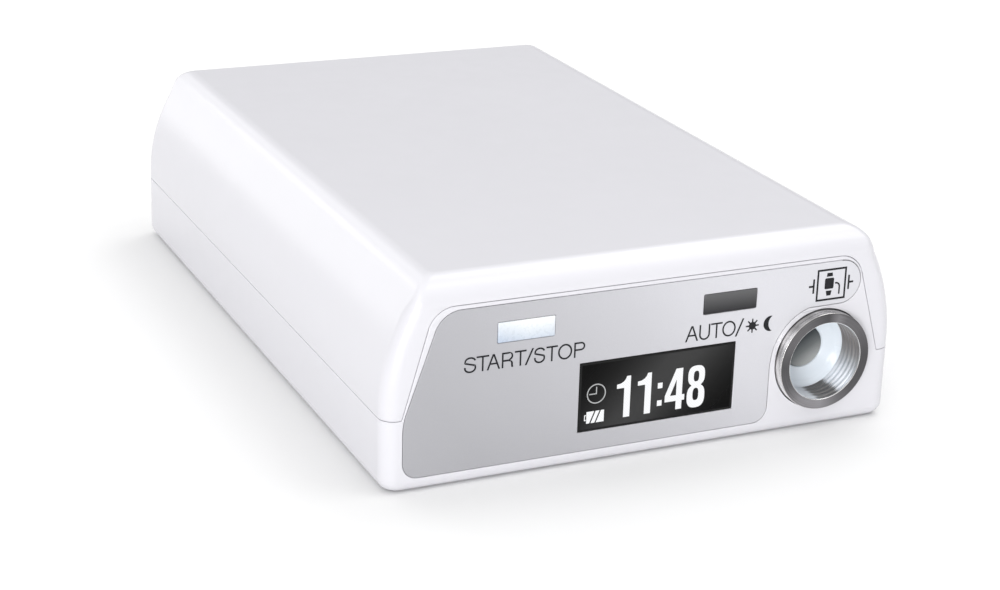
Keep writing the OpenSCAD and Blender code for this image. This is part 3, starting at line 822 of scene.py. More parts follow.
# ------------------------------------------------------------------ data port and its cover
def make_port_cover():
    # flap: rounded plate with a thumb notch at its top edge, standing on its hinge barrel
    y0, y1, z0, z1 = PORT_Y - 5.9, PORT_Y + 5.9, 2.95, 8.1
    out = rect(y0, y1, z0, z1, 0.35, 4)
    rings = []
    for x, g in ((31.9, 0.12), (32.02, 0.0), (32.86, 0.0), (32.96, 0.04), (33.0, 0.14)):
        rings.append([(x, y0 + (y - y0) * (y1 - y0 - 2 * g) / (y1 - y0) + g, z0 + (z - z0) * (z1 - z0 - 2 * g) / (z1 - z0) + g) for y, z in out])
    ob = loft("port_flap", rings)
    cut(ob, rod((33.35, PORT_Y - 1.7, 7.75), "y", 3.4, 0.62, 24))
    cut(ob, rod((32.45, y0, 2.95), "y", y1 - y0, 0.55, 24), "UNION")
    cut(ob, rod((32.45, PORT_Y - 6.8, 2.95), "y", 13.6, 0.4, 20), "UNION")
    soften(ob, 0.04)
    tidy(ob, 2e-4, normals=False)
    inside(ob)
    return finish_piece(ob, [CASE], "cover", ["port_cover"], sharp=50)


def make_port():
    n = 4

    def shell(x, hy, hz, r):
        return [(x, y, z) for y, z in rect(PORT_Y - hy, PORT_Y + hy, PORT_Z - hz, PORT_Z + hz, r, n)]
    rings = [shell(26.3, 3.75, 1.35, 0.55), shell(31.58, 3.75, 1.35, 0.55), shell(31.7, 3.66, 1.26, 0.5),
             shell(31.7, 3.53, 1.13, 0.42), shell(31.6, 3.45, 1.05, 0.36), shell(27.0, 3.45, 1.05, 0.36)]
    ob = loft("port_shell", rings)
    finish_piece(ob, [metal("port_steel", (0.62, 0.62, 0.62), 0.25, grain=0.1, stretch=(0.1, 1, 1))], "case", ["data_port"], sharp=40)
    t = loft("port_tongue", [[(x, y, z) for y, z in rect(PORT_Y - hy, PORT_Y + hy, PORT_Z - 0.35, PORT_Z + 0.3, 0.12, 2)]
                             for x, hy in ((26.9, 2.6), (30.3, 2.6), (30.5, 2.45))])
    pins = [box(27.6, 30.2, PORT_Y - 2.0 + i, PORT_Y - 1.6 + i, PORT_Z + 0.28, PORT_Z + 0.36) for i in (0, 1, 2, 3)]
    soften(t, 0.04)
    finish_piece(t, [plastic("port_insert", (0.02, 0.02, 0.022), 0.45)], "case", sharp=40)
    p = joined("port_pins", pins)
    soften(p, 0.02)
    finish_piece(p, [metal("pin_gold", (0.83, 0.62, 0.28), 0.25)], "case", sharp=40)


make_port_cover()
make_port()


# ------------------------------------------------------------------ front panel
def make_label():
    ob = prism(foil(0.0), 0.02, 0.22, "panel_foil")
    cut(ob, prism(rect(-9.24, 11.04, 4.10, 12.60), -2, 1))
    for x in (START_X, AUTO_X):
        cut(ob, prism(rect(x - BUTTON_W / 2 - FOIL_GAP, x + BUTTON_W / 2 + FOIL_GAP, BUTTON_Z - BUTTON_H / 2 - FOIL_GAP, BUTTON_Z + BUTTON_H / 2 + FOIL_GAP, 0.16, 3), -2, 1))
    soften(ob, 0.05, 2)

    def paint(c, n):
        # painted shade: the foil's edge faces beside the socket are painted dark, standing in for the thin shadow line
        # along the gap round the foil
        return 1 if n.y > -0.95 and (c.x > 24.6 or (c.x > 13.8 and c.z < 18)) else 0
    return finish_piece(ob, [FOIL, FOIL_PAINTED_SHADE], "case", ["front_label"], sharp=50, paint=paint)


def make_window():
    edge = rect(-9.19, 10.99, 4.15, 12.55, 0.12, 3)

    def inset(g, d):
        cx, cz, wx, wz = 0.9, 8.35, 10.09, 4.2
        return [panel(cx + (x - cx) * (wx - g) / wx, cz + (z - cz) * (wz - g) / wz, d) for x, z in edge]
    rings = [inset(0.06, 1.02), inset(0.0, 0.96), inset(0.0, 0.1), inset(0.02, 0.045), inset(0.07, 0.02), inset(0.26, 0.02)]
    ob = loft("display_lens", rings)
    return finish_piece(ob, [BORDER, WINDOW], "case", ["display_window"], sharp=60,
                        paint=lambda c, n: 1 if abs(c.x - 0.815) < 1.5 and abs(c.z - 8.35) < 1.0 and n.y < -0.9 else 0)


def key(name, cx, materials, body, node_name):
    """Push button: a crowned cap with soft edges, the flange behind the panel, and its stem."""
    def ring(g, d, r=0.11):
        x0, x1, z0, z1 = cx - BUTTON_W / 2 + g, cx + BUTTON_W / 2 - g, BUTTON_Z - BUTTON_H / 2 + g, BUTTON_Z + BUTTON_H / 2 - g
        return [panel(x, z, d) for x, z in rect(x0, x1, z0, z1, max(r - g * 0.4, 0.06), 5)]
    steps = [(-0.8, 2.15), (-0.8, 1.62), (0.0, 1.6), (0.0, 0.06), (0.015, 0.0), (0.05, -0.045), (0.11, -0.075), (0.2, -0.092), (0.5, -0.108), (1.1, -0.118)]
    ob = loft(name, [ring(g, d) for g, d in steps])
    stem = rod((0, 0, 0), "z", 0.5, 1.0, 32, "stem")
    stem.data.transform(Matrix(((1, 0, 0, 0), (0, SN, -CL, 0), (0, CL, SN, 0), (0, 0, 0, 1))))
    stem.data.transform(Matrix.Translation(Vector(panel(cx, BUTTON_Z, 2.62))))
    cut(ob, stem, "UNION")
    return finish_piece(ob, materials, body, [node_name], sharp=50)


make_label()
make_window()
key("start_key", START_X, [WHITE_KEY], "start_button", "start_stop_button")
key("auto_key_cap", AUTO_X, [DARK_KEY], "auto_key", "auto_button")


# ------------------------------------------------------------------ marks on the panel and the display
def plate(name, shapes, d_front, thick):
    """Thin plate whose outline is a list of shapes; a shape is a list of contours, holes included."""
    parts = []
    for contours in shapes:
        cu = bpy.data.curves.new(name, "CURVE")
        cu.dimensions = "2D"
        cu.fill_mode = "BOTH"
        cu.extrude = thick / 2
        for c in contours:
            sp = cu.splines.new("POLY")
            sp.points.add(len(c) - 1)
            for i, (x, y) in enumerate(c):
                sp.points[i].co = (x, y, 0, 1)
            sp.use_cyclic_u = True
        tmp = bpy.data.objects.new(name + "_curve", cu)
        link(tmp)
        bpy.context.view_layer.update()
        dg = bpy.context.evaluated_depsgraph_get()
        me = bpy.data.meshes.new_from_object(tmp.evaluated_get(dg), depsgraph=dg)
        bpy.data.objects.remove(tmp)
        bpy.data.curves.remove(cu)
        ob = bpy.data.objects.new(name + "_shape", me)
        link(ob)
        parts.append(tidy(ob, 1e-4))
    ob = joined(name, parts)
    for v in ob.data.vertices:
        v.co = panel(v.co.x, v.co.y, d_front + thick / 2 - v.co.z)
    return ob


CAP0, CAP1, PEN = 13.41, 15.24, 0.20      # baseline, top and stroke of the small lettering


def ribbon(path, w):
    """Outline of a pen stroke of width w along a path."""
    left, right = [], []
    n = len(path)
    for i, (x, y) in enumerate(path):
        x0, y0 = path[max(i - 1, 0)]
        x1, y1 = path[min(i + 1, n - 1)]
        dx, dy = x1 - x0, y1 - y0
        k = sqrt(dx * dx + dy * dy) or 1
        left.append((x - dy / k * w / 2, y + dx / k * w / 2))
        right.append((x + dy / k * w / 2, y - dx / k * w / 2))
    return left + right[::-1]


def glyph(ch, x0, x1, w=PEN, z0=CAP0, z1=CAP1):
    h, m, o = z1 - z0, (x0 + x1) / 2, 0.02
    if ch == "T":
        return [[(x0, z1), (x0, z1 - w), (m - w / 2, z1 - w), (m - w / 2, z0), (m + w / 2, z0), (m + w / 2, z1 - w), (x1, z1 - w), (x1, z1)]]
    if ch == "/":
        b = w * 1.12
        return [[(x0, z0 - 0.03), (x0 + b, z0 - 0.03), (x1, z1 + 0.06), (x1 - b, z1 + 0.06)]]
    if ch == "A":
        a = w * 0.62
        k = (m - a - x0) / h
        b = w * sqrt(1 + k * k)
        c0 = z0 + 0.33 * h
        c1 = c0 + w * 0.95
        li = lambda z: x0 + b + k * (z - z0)
        ri = lambda z: x1 - b - k * (z - z0)
        top = z0 + (x1 - x0 - 2 * b) / (2 * k)
        return [[(x0, z0), (m - a, z1), (m + a, z1), (x1, z0), (x1 - b, z0), (ri(c0), c0), (li(c0), c0), (x0 + b, z0)],
                [(li(c1), c1), (ri(c1), c1), (m, top)]]
    if ch in "RP":
        zm = z0 + (0.46 if ch == "R" else 0.44) * h
        ro = (z1 - zm) / 2
        xs = x1 - ro - (0.04 if ch == "R" else 0)
        outer = [(x0, z0), (x0, z1), (xs, z1)] + arc(xs, zm + ro, ro, 90, -90, 12)[1:]
        if ch == "R":
            q = x1 - 0.05
            outer[-1] = (xs + 0.12, zm + 0.01)
            outer += [(q - 0.20, zm - 0.05), (q - 0.06, zm - 0.17), (q, zm - 0.36), (q + 0.01, z0 + 0.24), (q + 0.06, z0),
                      (q - w + 0.02, z0), (q - w - 0.02, z0 + 0.24), (q - w - 0.03, zm - 0.32), (q - w - 0.10, zm - w + 0.04), (xs - 0.1, zm - w + 0.10), (x0 + w, zm - w + 0.10)]
            outer += [(x0 + w, z0)]
            ri = ro - w
            hole = [(x0 + w, zm + w * 0.55), (xs, zm + w * 0.55)] + arc(xs, zm + ro + w * 0.25, ri, -90, 90, 10, ro - w + w * 0.2)[1:] + [(x0 + w, z1 - w)]
            hole[-2] = (xs, z1 - w)
            return [outer, hole]
        outer += [(x0 + w, zm), (x0 + w, z0)]
        ri = ro - w
        hole = [(x0 + w, zm + w), (xs, zm + w)] + arc(xs, zm + ro, ri, -90, 90, 10)[1:] + [(x0 + w, z1 - w)]
        return [outer, hole]
    if ch == "O":
        return [arc(m, (z0 + z1) / 2, (x1 - x0) / 2, 0, 360, 40, h / 2 + o)[:-1], arc(m, (z0 + z1) / 2, (x1 - x0) / 2 - w, 0, 360, 40, h / 2 + o - w)[:-1]]
    if ch == "U":
        r = (x1 - x0) / 2
        return [[(x0, z1)] + arc(m, z0 + r * 0.95, r, 180, 360, 20, r * 0.95 + o) + [(x1, z1), (x1 - w, z1)]
                + arc(m, z0 + r * 0.95, r - w, 360, 180, 20, r * 0.95 + o - w) + [(x0 + w, z1)]]
    if ch == "S":
        a = (x1 - x0) / 2 - w / 2
        hu, hl = h * 0.235, h * 0.265
        zu, zl = z1 + o - w / 2 - hu, z0 - o + w / 2 + hl
        up = [(m + a * 0.97 * cos(radians(t)), zu + hu * sin(radians(t))) for t in range(12, 215, 12)]
        lo = [(m + a * cos(radians(t)), zl + hl * sin(radians(t))) for t in range(35, -200, -12)]
        return [ribbon(smooth_path(up + lo), w)]
    return []


def smooth_path(p):
    """Rounds a path by passing a curve through its points."""
    out = []
    n = len(p)
    for i in range(n - 1):
        p0, p1, p2, p3 = p[max(i - 1, 0)], p[i], p[i + 1], p[min(i + 2, n - 1)]
        for k in range(3):
            t = k / 3
            out.append(tuple(0.5 * (2 * p1[j] + (p2[j] - p0[j]) * t + (2 * p0[j] - 5 * p1[j] + 4 * p2[j] - p3[j]) * t * t
                                    + (3 * p1[j] - p0[j] - 3 * p2[j] + p3[j]) * t ** 3) for j in (0, 1)))
    return out + [p[-1]]


def make_print():
    words = [("S", -23.52, -22.06), ("T", -22.04, -20.52), ("A", -20.79, -19.16), ("R", -18.97, -17.56), ("T", -17.41, -15.98), ("/", -16.15, -15.07),
             ("S", -15.02, -13.66), ("T", -13.53, -12.12), ("O", -12.06, -10.30), ("P", -10.06, -8.68)]
    shapes = [glyph(*w) for w in words]
    for w in (("A", 4.20, 5.91), ("U", 6.02, 7.44), ("T", 7.54, 9.07), ("O", 9.07, 10.86)):
        shapes.append(glyph(*w, PEN, CAP0 - 0.06, CAP1))
    shapes.append(glyph("/", 10.82, 11.95, PEN, CAP0 - 0.20, CAP1 + 0.02))
    # sun
    sun, cx, cz = [], 13.11, 14.24
    for i in range(8):
        a = 45 * i
        for da, r in ((-22.5, 0.48), (-12, 0.48), (-5, 0.88), (5, 0.88), (12, 0.48)):
            sun.append((cx + r * cos(radians(a + da)), cz + r * sin(radians(a + da))))
    shapes.append([sun])
    # moon
    shapes.append([arc(15.57, 14.22, 0.95, 77, 283, 30) + arc(16.42, 14.22, 1.13, 234.5, 125.5, 22)[1:-1]])
    # cuff pictogram: a framed upper arm with its cuff and hose, between two short brackets
    x0, x1, z0, z1, s = 21.57, 25.62, 16.12, 20.07, 0.24
    shapes.append([rect(x0, x1, z0, z1), rect(x0 + s, x1 - s, z0 + s, z1 - s)])
    mx = 23.3
    shapes.append([[(mx - 0.42, 19.1), (mx - 0.36, 19.55), (mx + 0.36, 19.55), (mx + 0.42, 19.1)]])
    shapes.append([rect(mx - 0.62, mx + 0.62, 17.55, 18.9, 0.16, 3)])
    shapes.append([[(mx - 0.40, 17.33), (mx + 0.40, 17.33), (mx + 0.28, 16.72), (mx - 0.28, 16.72)]])
    shapes.append([ribbon([(mx + 0.80, 18.2)] + arc(mx + 0.92, 17.68, 0.52, 90, 0, 8)[1:] + [(mx + 1.44, 16.75)], 0.2)])
    for s1, xb, xe in ((-1, 21.16, 20.5), (1, 26.0, 26.64)):
        t = s1 * 0.12
        shapes.append([[(xb - t, 17.2), (xb + t, 17.2), (xb + t, 17.97), (xe, 17.97), (xe, 18.21), (xb + t, 18.21), (xb + t, 18.98), (xb - t, 18.98)]])
    ob = plate("panel_print", shapes, 0.006, 0.02)
    return finish_piece(ob, [INK], "case", weighted=False, smooth=False)


def make_clock():
    one = [(-3.43, 5.20), (-2.62, 5.20), (-2.62, 10.25), (-3.12, 10.25), (-3.26, 9.90), (-3.53, 9.60), (-3.91, 9.41), (-4.38, 9.34), (-4.38, 8.84), (-3.43, 8.84)]
    shapes = [[one], [[(x + 2.70, z) for x, z in one]],
              [rect(0.94, 1.55, 8.10, 8.78)], [rect(0.94, 1.55, 5.92, 6.60)],
              [[(1.94, 6.22), (3.41, 6.22), (3.41, 5.15), (4.18, 5.15), (4.18, 6.22), (4.52, 6.22), (4.52, 6.93), (4.18, 6.93), (4.18, 10.24), (3.30, 10.24), (1.94, 7.00)],
               [(2.62, 6.93), (3.41, 6.93), (3.41, 8.92)]]]

    def lobe(cx, cz, a, b, z, e=2.7):
        k = 1 - (abs(z - cz) / b) ** e
        return a * k ** (1 / e) if k > 0 else 0.0

    def oval(cx, cz, a, b, n=40, e=2.7):
        return [(cx + a * math.copysign(abs(cos(2 * pi * i / n)) ** (2 / e), cos(2 * pi * i / n)),
                 cz + b * math.copysign(abs(sin(2 * pi * i / n)) ** (2 / e), sin(2 * pi * i / n))) for i in range(n)]
    zs = [5.02 + (10.28 - 5.02) * (0.5 - 0.5 * cos(pi * i / 60)) for i in range(61)]
    half = [max(lobe(6.02, 9.02, 1.10, 1.25, z), lobe(6.02, 6.46, 1.17, 1.43, z), 0.02) for z in zs]
    outer = [(6.02 + h, z) for h, z in zip(half, zs)] + [(6.02 - h, z) for h, z in zip(half[::-1], zs[::-1])]
    shapes.append([outer, oval(6.01, 8.94, 0.36, 0.66), oval(5.99, 6.70, 0.39, 0.77)])
    ob = plate("clock_digits", shapes, 0.008, 0.014)
    finish_piece(ob, [GLOW], "case", weighted=False, smooth=False)
    # clock face and battery gauge
    cx, cz = -7.00, 8.64
    marks = [[arc(cx, cz, 1.21, 0, 360, 48)[:-1], arc(cx, cz, 1.08, 0, 360, 48)[:-1]],
             [[(cx - 0.90, cz - 0.06), (cx + 0.06, cz - 0.06), (cx + 0.06, cz + 0.84), (cx - 0.06, cz + 0.84), (cx - 0.06, cz + 0.06), (cx - 0.90, cz + 0.06)]]]
    ob = plate("clock_icon", marks, 0.008, 0.014)
    finish_piece(ob, [DIM], "case", weighted=False, smooth=False)
    x0, x1, z0, z1, g = -8.16, -5.92, 5.09, 6.53, 0.19
    def lean(z, x):
        return (x + 0.42 * (z - z0), z)
    gauge = [[[(x0, z0), lean(z0, x0 + 0.38), lean(z1, x0 + 0.38), (x0, z1)]],
             [[lean(z0, x0 + 0.38 + g), lean(z0, x0 + 1.05), lean(z1, x0 + 1.05), lean(z1, x0 + 0.38 + g)]],
             [[lean(z0, x0 + 1.05 + g), (x1, z0), (x1, z1), lean(z1, x0 + 1.05 + g)]],
             [[(x0 - 0.28, 5.46), (x0 - 0.06, 5.46), (x0 - 0.06, 5.57), (x0 - 0.18, 5.57), (x0 - 0.18, 6.05), (x0 - 0.06, 6.05), (x0 - 0.06, 6.16), (x0 - 0.28, 6.16)]]]
    ob = plate("battery_icon", gauge, 0.008, 0.014)
    finish_piece(ob, [GLOW], "case", weighted=False, smooth=False)


make_print()
make_clock()


# ------------------------------------------------------------------ air socket
def turned(name, profile, materials, y0, body, stands_for, n=128, closed=True, paint=None, sharp=35):
    """Piece turned about the socket axis. profile: (radius, height towards the viewer) or a function of the angle."""
    rings = []
    for p in profile:
        r = p[0]
        ring = []
        for i in range(n):
            a = 2 * pi * i / n
            rr = r(a) if callable(r) else r
            ring.append((rr * cos(a), rr * sin(a), p[1]))
        rings.append(ring)
    ob = loft(name, rings, closed=closed)
    for p in ob.data.polygons:
        p.material_index = 0
    ob.data.transform(Matrix.Scale(0.001, 4))
    for m in materials:
        ob.data.materials.append(m)
    if paint:
        for p in ob.data.polygons:
            c = p.center * 1000
            p.material_index = paint(sqrt(c.x * c.x + c.y * c.y), c.z, p.normal)
    ob.matrix_world = Matrix(((1, 0, 0, SOCKET[0] * 0.001), (0, 0, -1, y0 * 0.001), (0, 1, 0, SOCKET[1] * 0.001), (0, 0, 0, 1)))
    ob.data.polygons.foreach_set("use_smooth", [True] * len(ob.data.polygons))
    ob.data.set_sharp_from_angle(angle=radians(sharp))
    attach(ob, body)
    if stands_for:
        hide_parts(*stands_for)
    return ob


def make_socket():
    pitch, crest, root = 0.75, 4.8, 4.96
    thread = []
    z_in, z_out = -3.8, -0.28
    rows = 66
    for i in range(rows + 1):
        z = z_in + (z_out - z_in) * i / rows
        fade = min(1.0, (z_out - z) / 0.3, (z - z_in) / 0.4)

        def r(a, z=z, fade=fade):
            ph = (z / pitch - a / (2 * pi)) % 1.0
            tri = 1 - abs(2 * ph - 1)
            k = min(max((tri - 0.18) / 0.64, 0), 1)
            k = k * k * (3 - 2 * k) * 0.4 + k * 0.6
            return crest + (root - crest) * k * max(fade, 0)
        thread.append((r, z))
    # heights: 0 is the front of the ring
    outer = [(5.3, -3.82), (5.3, -6.45), (5.9, -6.45), (5.9, -4.3), (7.0, -4.3), (7.0, -3.25), (6.1, -3.25), (6.1, -0.13), (6.085, -0.07), (6.045, -0.025), (5.98, 0.0)]
    face = [(5.98 - 0.14 * k, 0.0) for k in range(1, 8)]
    mouth = [(4.93, 0.0), (4.89, -0.012), (4.86, -0.05), (4.84, -0.12)]
    profile = outer + face + mouth + [(t[0], t[1]) for t in reversed(thread)]

    def paint(r, z, n):
        if z > -0.004 and r > 4.9:
            return 0
        if z > -0.2 and r < 4.95:
            return 3
        if r > 5.15 and z > -3.3:
            return 0 if z > -0.04 else 1
        return 2
    turned("socket_ring", profile, [FACE, SIDE, THREAD, EDGE], -47.5, "case", ["air_socket"], n=144, paint=paint)
    seat = [(5.27, 0.0), (5.27, -2.6), (1.4, -2.6), (1.4, -1.75), (2.62, -1.75), (2.66, -1.71), (2.66, -1.2), (2.70, -1.14), (2.8, -1.08),
            (3.2, -0.90), (3.7, -0.67), (4.1, -0.49), (4.14, -0.44), (4.2, -0.38), (4.62, -0.10), (4.74, -0.03), (4.80, -0.005), (4.9, 0.0)]
    turned("hose_seat", seat, [SEAT], -43.68, "case", ["socket_seat"], n=96)


def filter_material():
    """Sintered disc: a very fine grain, with painted light and shade: darker towards its upper left, paler towards its
    lower right.
    """
    m, nt, b = new_material("filter_grey")
    grain = noise(nt, 9000.0, 3.0, 0.6)
    t = plus(nt, axis_fac(nt, "X", -0.0026, 0.0026, -0.1, 0.35), axis_fac(nt, "Y", 0.0026, -0.0026, 0.0, 0.75))
    painted_light_tone = ramp(nt, t, [(0.1, (0.018, 0.023, 0.027)), (0.35, (0.044, 0.052, 0.058)), (0.6, (0.165, 0.178, 0.18)), (0.95, (0.50, 0.505, 0.495))])
    nt.links.new(times(nt, painted_light_tone, ramp(nt, grain, [(0.3, (0.86, 0.86, 0.86)), (0.7, (1.0, 1.0, 1.0))])), b.inputs["Base Color"])
    nt.links.new(map_range(nt, grain, 0.5, 0.7, 0.3, 0.7), b.inputs["Roughness"])
    bump(nt, b, grain, 0.4, 0.00001)
    b.inputs["Metallic"].default_value = 0.2
    return m


make_socket()
turned("socket_frit", [(2.6, -0.53), (2.6, -0.06), (2.57, -0.02), (2.5, 0.0), (1.8, 0.02), (1.0, 0.035), (0.4, 0.04)],
       [filter_material()], -42.48, "case", ["socket_filter"], n=64, closed=False, sharp=60)


# ------------------------------------------------------------------ screws, cells
def make_screws():
    parts = []
    for x, y in BOSSES:
        prof = [(0.25, 3.1), (1.45, 3.1), (1.7, 3.16), (1.86, 3.32), (1.9, 3.6), (1.9, 4.58), (1.0, 4.6), (1.0, 15.0), (0.6, 15.5)]
        s = loft("screw", [[(x + r * cos(2 * pi * i / 40), y + r * sin(2 * pi * i / 40), z) for i in range(40)] for r, z in prof])
        for a in (0.35, 0.35 + pi / 2):
            c = box(-1.15, 1.15, -0.24, 0.24, 2.5, 3.85)
            c.data.transform(Matrix.Translation((x, y, 0)) @ Matrix.Rotation(a, 4, "Z"))
            cut(s, c)
        parts.append(s)
    ob = joined("screws", parts)
    soften(ob, 0.04)
    return finish_piece(ob, [SCREW], "case", ["case_screws"], sharp=50)


def make_cells():
    """Two size AA cells: shrink sleeve with rolled edges, crimped can, terminal nub."""
    m, nt, b = new_material("cell_sleeve")
    x = axis_fac(nt, "X", -0.028, 0.028)
    y = nt.nodes.new("ShaderNodeTexCoord")
    s = nt.nodes.new("ShaderNodeSeparateXYZ")
    nt.links.new(y.outputs["Object"], s.inputs["Vector"])
    grey, band = (0.06, 0.075, 0.09), (0.55, 0.30, 0.12)
    front = ramp(nt, x, [(0.0, grey), (0.72, grey), (0.722, (0.75, 0.75, 0.73)), (0.735, (0.75, 0.75, 0.73)), (0.737, band), (1.0, band)], "CONSTANT")
    back = ramp(nt, x, [(0.0, band), (0.263, (0.75, 0.75, 0.73)), (0.278, grey), (1.0, grey)], "CONSTANT")
    step = map_range(nt, s.outputs["Y"], 0.0, 1.0, 0.0298, 0.0299)
    nt.links.new(mix_colour(nt, step, front, back), b.inputs["Base Color"])
    nt.links.new(map_range(nt, noise(nt, 900.0), 0.22, 0.34, 0.3, 0.7), b.inputs["Roughness"])
    b.inputs["Metallic"].default_value = 0.55
    bump(nt, b, noise(nt, 700.0), 0.12, 0.00002)
    can = metal("cell_can", (0.66, 0.65, 0.62), 0.28, grain=0.15)
    parts = []
    for yc, sgn in ((22.45, 1), (37.25, -1)):
        x1 = 27.96
        prof = [(0.4, 0.35), (3.9, 0.35), (4.3, 0.05), (6.3, 0.0), (6.75, 0.12), (7.05, 0.45), (7.15, 0.8), (7.15, 48.3), (7.05, 48.75), (6.8, 49.0), (6.35, 49.1),
                (6.2, 48.85), (5.2, 48.8), (4.6, 49.3), (3.1, 49.45), (2.85, 49.6), (2.75, 49.8), (2.72, 50.2), (2.5, 50.44), (2.1, 50.5), (0.5, 50.5)]
        rings = [[(sgn * (x1 - 50.5 + h), yc + r * cos(2 * pi * i / 64), 9.3 + sgn * r * sin(2 * pi * i / 64)) for i in range(64)] for r, h in prof]
        parts.append(loft("cell", rings))
    ob = joined("aa_cells", parts)

    def paint(c, n):
        yc = 22.45 if c.y < 29.85 else 37.25
        r = sqrt((c.y - yc) ** 2 + (c.z - 9.3) ** 2)
        return 0 if r > 6.5 else 1
    return finish_piece(ob, [m, can], "case", ["battery_cells"], sharp=40, weighted=False, paint=paint)


make_screws()
make_cells()

# ------------------------------------------------------------------ pieces inside the case
BOARD = circuit("board_green")
RUBBER = rubber("rubber_black", (0.035, 0.035, 0.036))
STEEL = metal("valve_steel", (0.6, 0.6, 0.61), 0.3)
PUMP = plastic("pump_plastic", (0.66, 0.63, 0.54), 0.5, grain=0.4, depth=0.02)
SWITCH = plastic("switch_body", (0.05, 0.05, 0.055), 0.4)
PLUNGER = plastic("switch_plunger", (0.6, 0.16, 0.04), 0.4)
CHIP = plastic("chip_black", (0.025, 0.025, 0.028), 0.55, grain=0.15, depth=0.02)
SPRING = metal("spring_steel", (0.55, 0.55, 0.56), 0.25)
inner = {
    "display_panel": plastic("display_glass", (0.012, 0.013, 0.018), 0.08, coat=0.5, coat_rough=0.03),
    "display_pad": rubber("foam_black", (0.02, 0.02, 0.02), 0.85),
    "start_plunger": PLUNGER, "auto_plunger": PLUNGER, "start_switch": SWITCH, "auto_switch": SWITCH,
    "status_leds": plastic("led_resin", (0.85, 0.82, 0.62), 0.15, coat=0.5),
    "front_board": BOARD, "main_board": BOARD, "port_board": BOARD,
    "board_chips": CHIP, "buzzer": CHIP,
    "cell_holder": plastic("holder_ivory", (0.62, 0.6, 0.5), 0.5),
    "backup_cell": metal("cell_steel", (0.62, 0.62, 0.61), 0.25, grain=0.1),
    "socket_gasket": RUBBER, "socket_seal": RUBBER, "pump_cradle": RUBBER, "pump_diaphragm": RUBBER,
    "air_manifold": plastic("manifold_plastic", (0.3, 0.36, 0.44), 0.45, grain=0.4, depth=0.02),
    "pump_motor": metal("motor_steel", (0.58, 0.58, 0.59), 0.3, stretch=(0.2, 1, 1)),
    "pump_rotor": metal("shaft_brass", (0.72, 0.52, 0.22), 0.28, stretch=(1, 0.2, 0.2)),
    "pump_head": PUMP, "pump_cap": PUMP,
    "air_tube": plastic("silicone", (0.62, 0.68, 0.7), 0.4, subsurface=0.3),
    "exhaust_valve": STEEL, "leak_valve": STEEL, "valve_plunger": STEEL,
    "battery_springs": SPRING,
    "battery_contacts": metal("contact_nickel", (0.66, 0.63, 0.56), 0.25, stretch=(1, 1, 0.1)),
    "pressure_sensors": plastic("sensor_ivory", (0.64, 0.64, 0.6), 0.5),
    "battery_tray": plastic("tray_grey", (0.045, 0.045, 0.048), 0.55, grain=0.5, depth=0.03),
}
for name, m in inner.items():
    me = nodes[name].data
    me.materials.clear()
    me.materials.append(m)
    for p in me.polygons:
        p.material_index = 0


# ------------------------------------------------------------------ return spring of the valve
def make_valve_spring():
    """Coil with closed ends between the plunger's shoulder and the valve's seat."""
    x0, x1, y, z, r, w, turns, k, sides = 5.95, 10.95, YF + 13.5, SOCKET[1], 1.5, 0.2, 5, 36, 10
    n = turns * k
    rings = []
    for i in range(n + 1):
        f, a = i / n, 2 * pi * turns * i / n
        x = x0 + w + (x1 - x0 - 2 * w) * f
        rings.append([(x + w * sin(b), y + (r + w * cos(b)) * cos(a), z + (r + w * cos(b)) * sin(a)) for b in (2 * pi * j / sides for j in range(sides))])
    ob = loft("valve_coil", rings)
    finish_piece(ob, [SPRING], "case", ["valve_spring"], sharp=60)
    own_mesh(ob)


make_valve_spring()


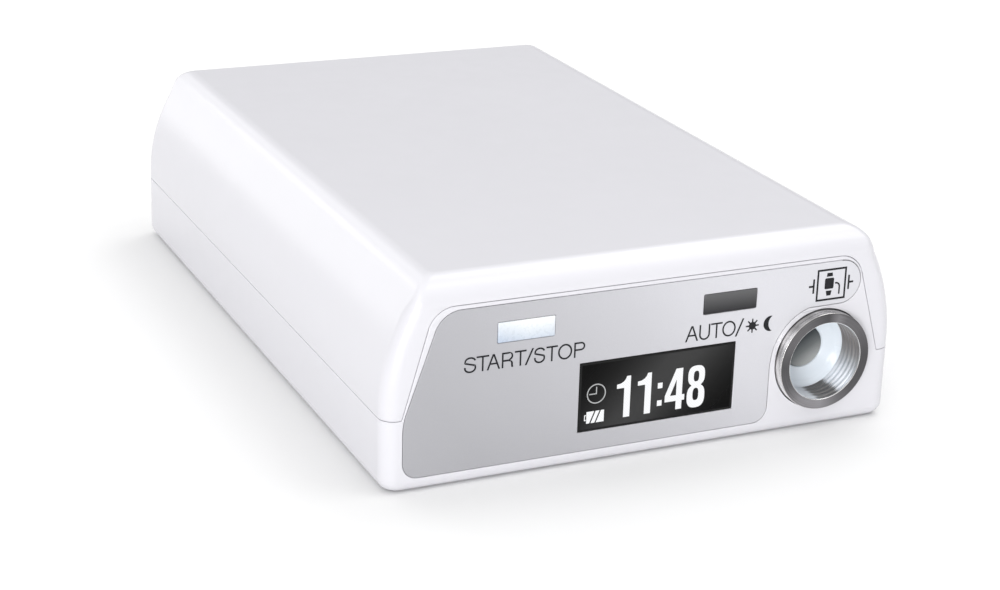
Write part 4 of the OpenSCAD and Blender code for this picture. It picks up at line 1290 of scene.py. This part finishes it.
# ------------------------------------------------------------------ floor, light
def make_floor():
    n = 64
    r = [0.0, 0.4, 1.0, 3.0, 8.0]
    verts, faces = [(0, 0, 0)], []
    for k in r[1:]:
        verts += [(k * cos(2 * pi * i / n), k * sin(2 * pi * i / n), 0) for i in range(n)]
    for i in range(n):
        faces.append((0, 1 + i, 1 + (i + 1) % n))
    for k in range(len(r) - 2):
        a, b = 1 + k * n, 1 + (k + 1) * n
        for i in range(n):
            j = (i + 1) % n
            faces.append((a + i, b + i, b + j, a + j))
    ob = mesh_obj("floor", verts, faces)
    ob.location.z = -0.00002
    m, nt, b = new_material("floor_white")
    nt.links.new(ramp(nt, noise(nt, 12.0), [(0.3, (0.793, 0.793, 0.793)), (0.7, (0.807, 0.807, 0.807))]), b.inputs["Base Color"])
    b.inputs["Roughness"].default_value = 0.9
    b.inputs["Specular IOR Level"].default_value = 0.1
    ob.data.materials.append(m)
    return ob


def area(name, place, target, sx, sy, power, colour=(1, 1, 1)):
    d = bpy.data.lights.new(name, "AREA")
    d.shape = "RECTANGLE"
    d.size, d.size_y = sx, sy
    d.energy = power
    d.color = colour
    ob = bpy.data.objects.new(name, d)
    link(ob)
    ob.location = place
    ob.rotation_mode = "QUATERNION"
    ob.rotation_quaternion = (Vector(target) - Vector(place)).to_track_quat("-Z", "Y")
    return ob


def make_world():
    """Studio dome: bright overhead, dim near the horizon."""
    w = bpy.data.worlds.new("studio")
    scene.world = w
    w.use_nodes = True
    nt = w.node_tree
    bg = nt.nodes["Background"]
    bg.inputs["Color"].default_value = (1, 1, 1, 1)
    tc = nt.nodes.new("ShaderNodeTexCoord")
    sep = nt.nodes.new("ShaderNodeSeparateXYZ")
    mr = nt.nodes.new("ShaderNodeMapRange")
    mr.interpolation_type = "SMOOTHSTEP"
    for k, v in (("From Min", 0.25), ("From Max", 0.75), ("To Min", 0.37), ("To Max", 1.17)):
        mr.inputs[k].default_value = v
    nt.links.new(tc.outputs["Generated"], sep.inputs["Vector"])
    nt.links.new(sep.outputs["Z"], mr.inputs["Value"])
    nt.links.new(mr.outputs["Result"], bg.inputs["Strength"])


def softbox(name, azimuth, elevation, level, size=0.35, far=0.7):
    """Soft box aimed at the object. azimuth 0 is behind it, 90 to its right; level is the brightness of its face."""
    a, e = radians(azimuth), radians(elevation)
    d = Vector((cos(e) * sin(a), cos(e) * cos(a), sin(e)))
    return area(name, d * far + Vector((0, 0, 0.012)), (0, 0, 0.012), size, size, pi * size * size * level)


make_floor()
make_world()
softbox("low_front", 200, 6, 17.3, 0.12)
softbox("low_middle", 215, 6, 22.5, 0.12)
softbox("low_left", 225, 6, 12.5, 0.12)
softbox("key", 225, 12, 1.63)
softbox("back_left", -30, 12, 1.8)
softbox("back", -15, 30, 0.95)
softbox("top_right", 60, 55, 2.38)
softbox("top_front", 120, 55, 1.93)
scene.view_settings.view_transform = "Standard"
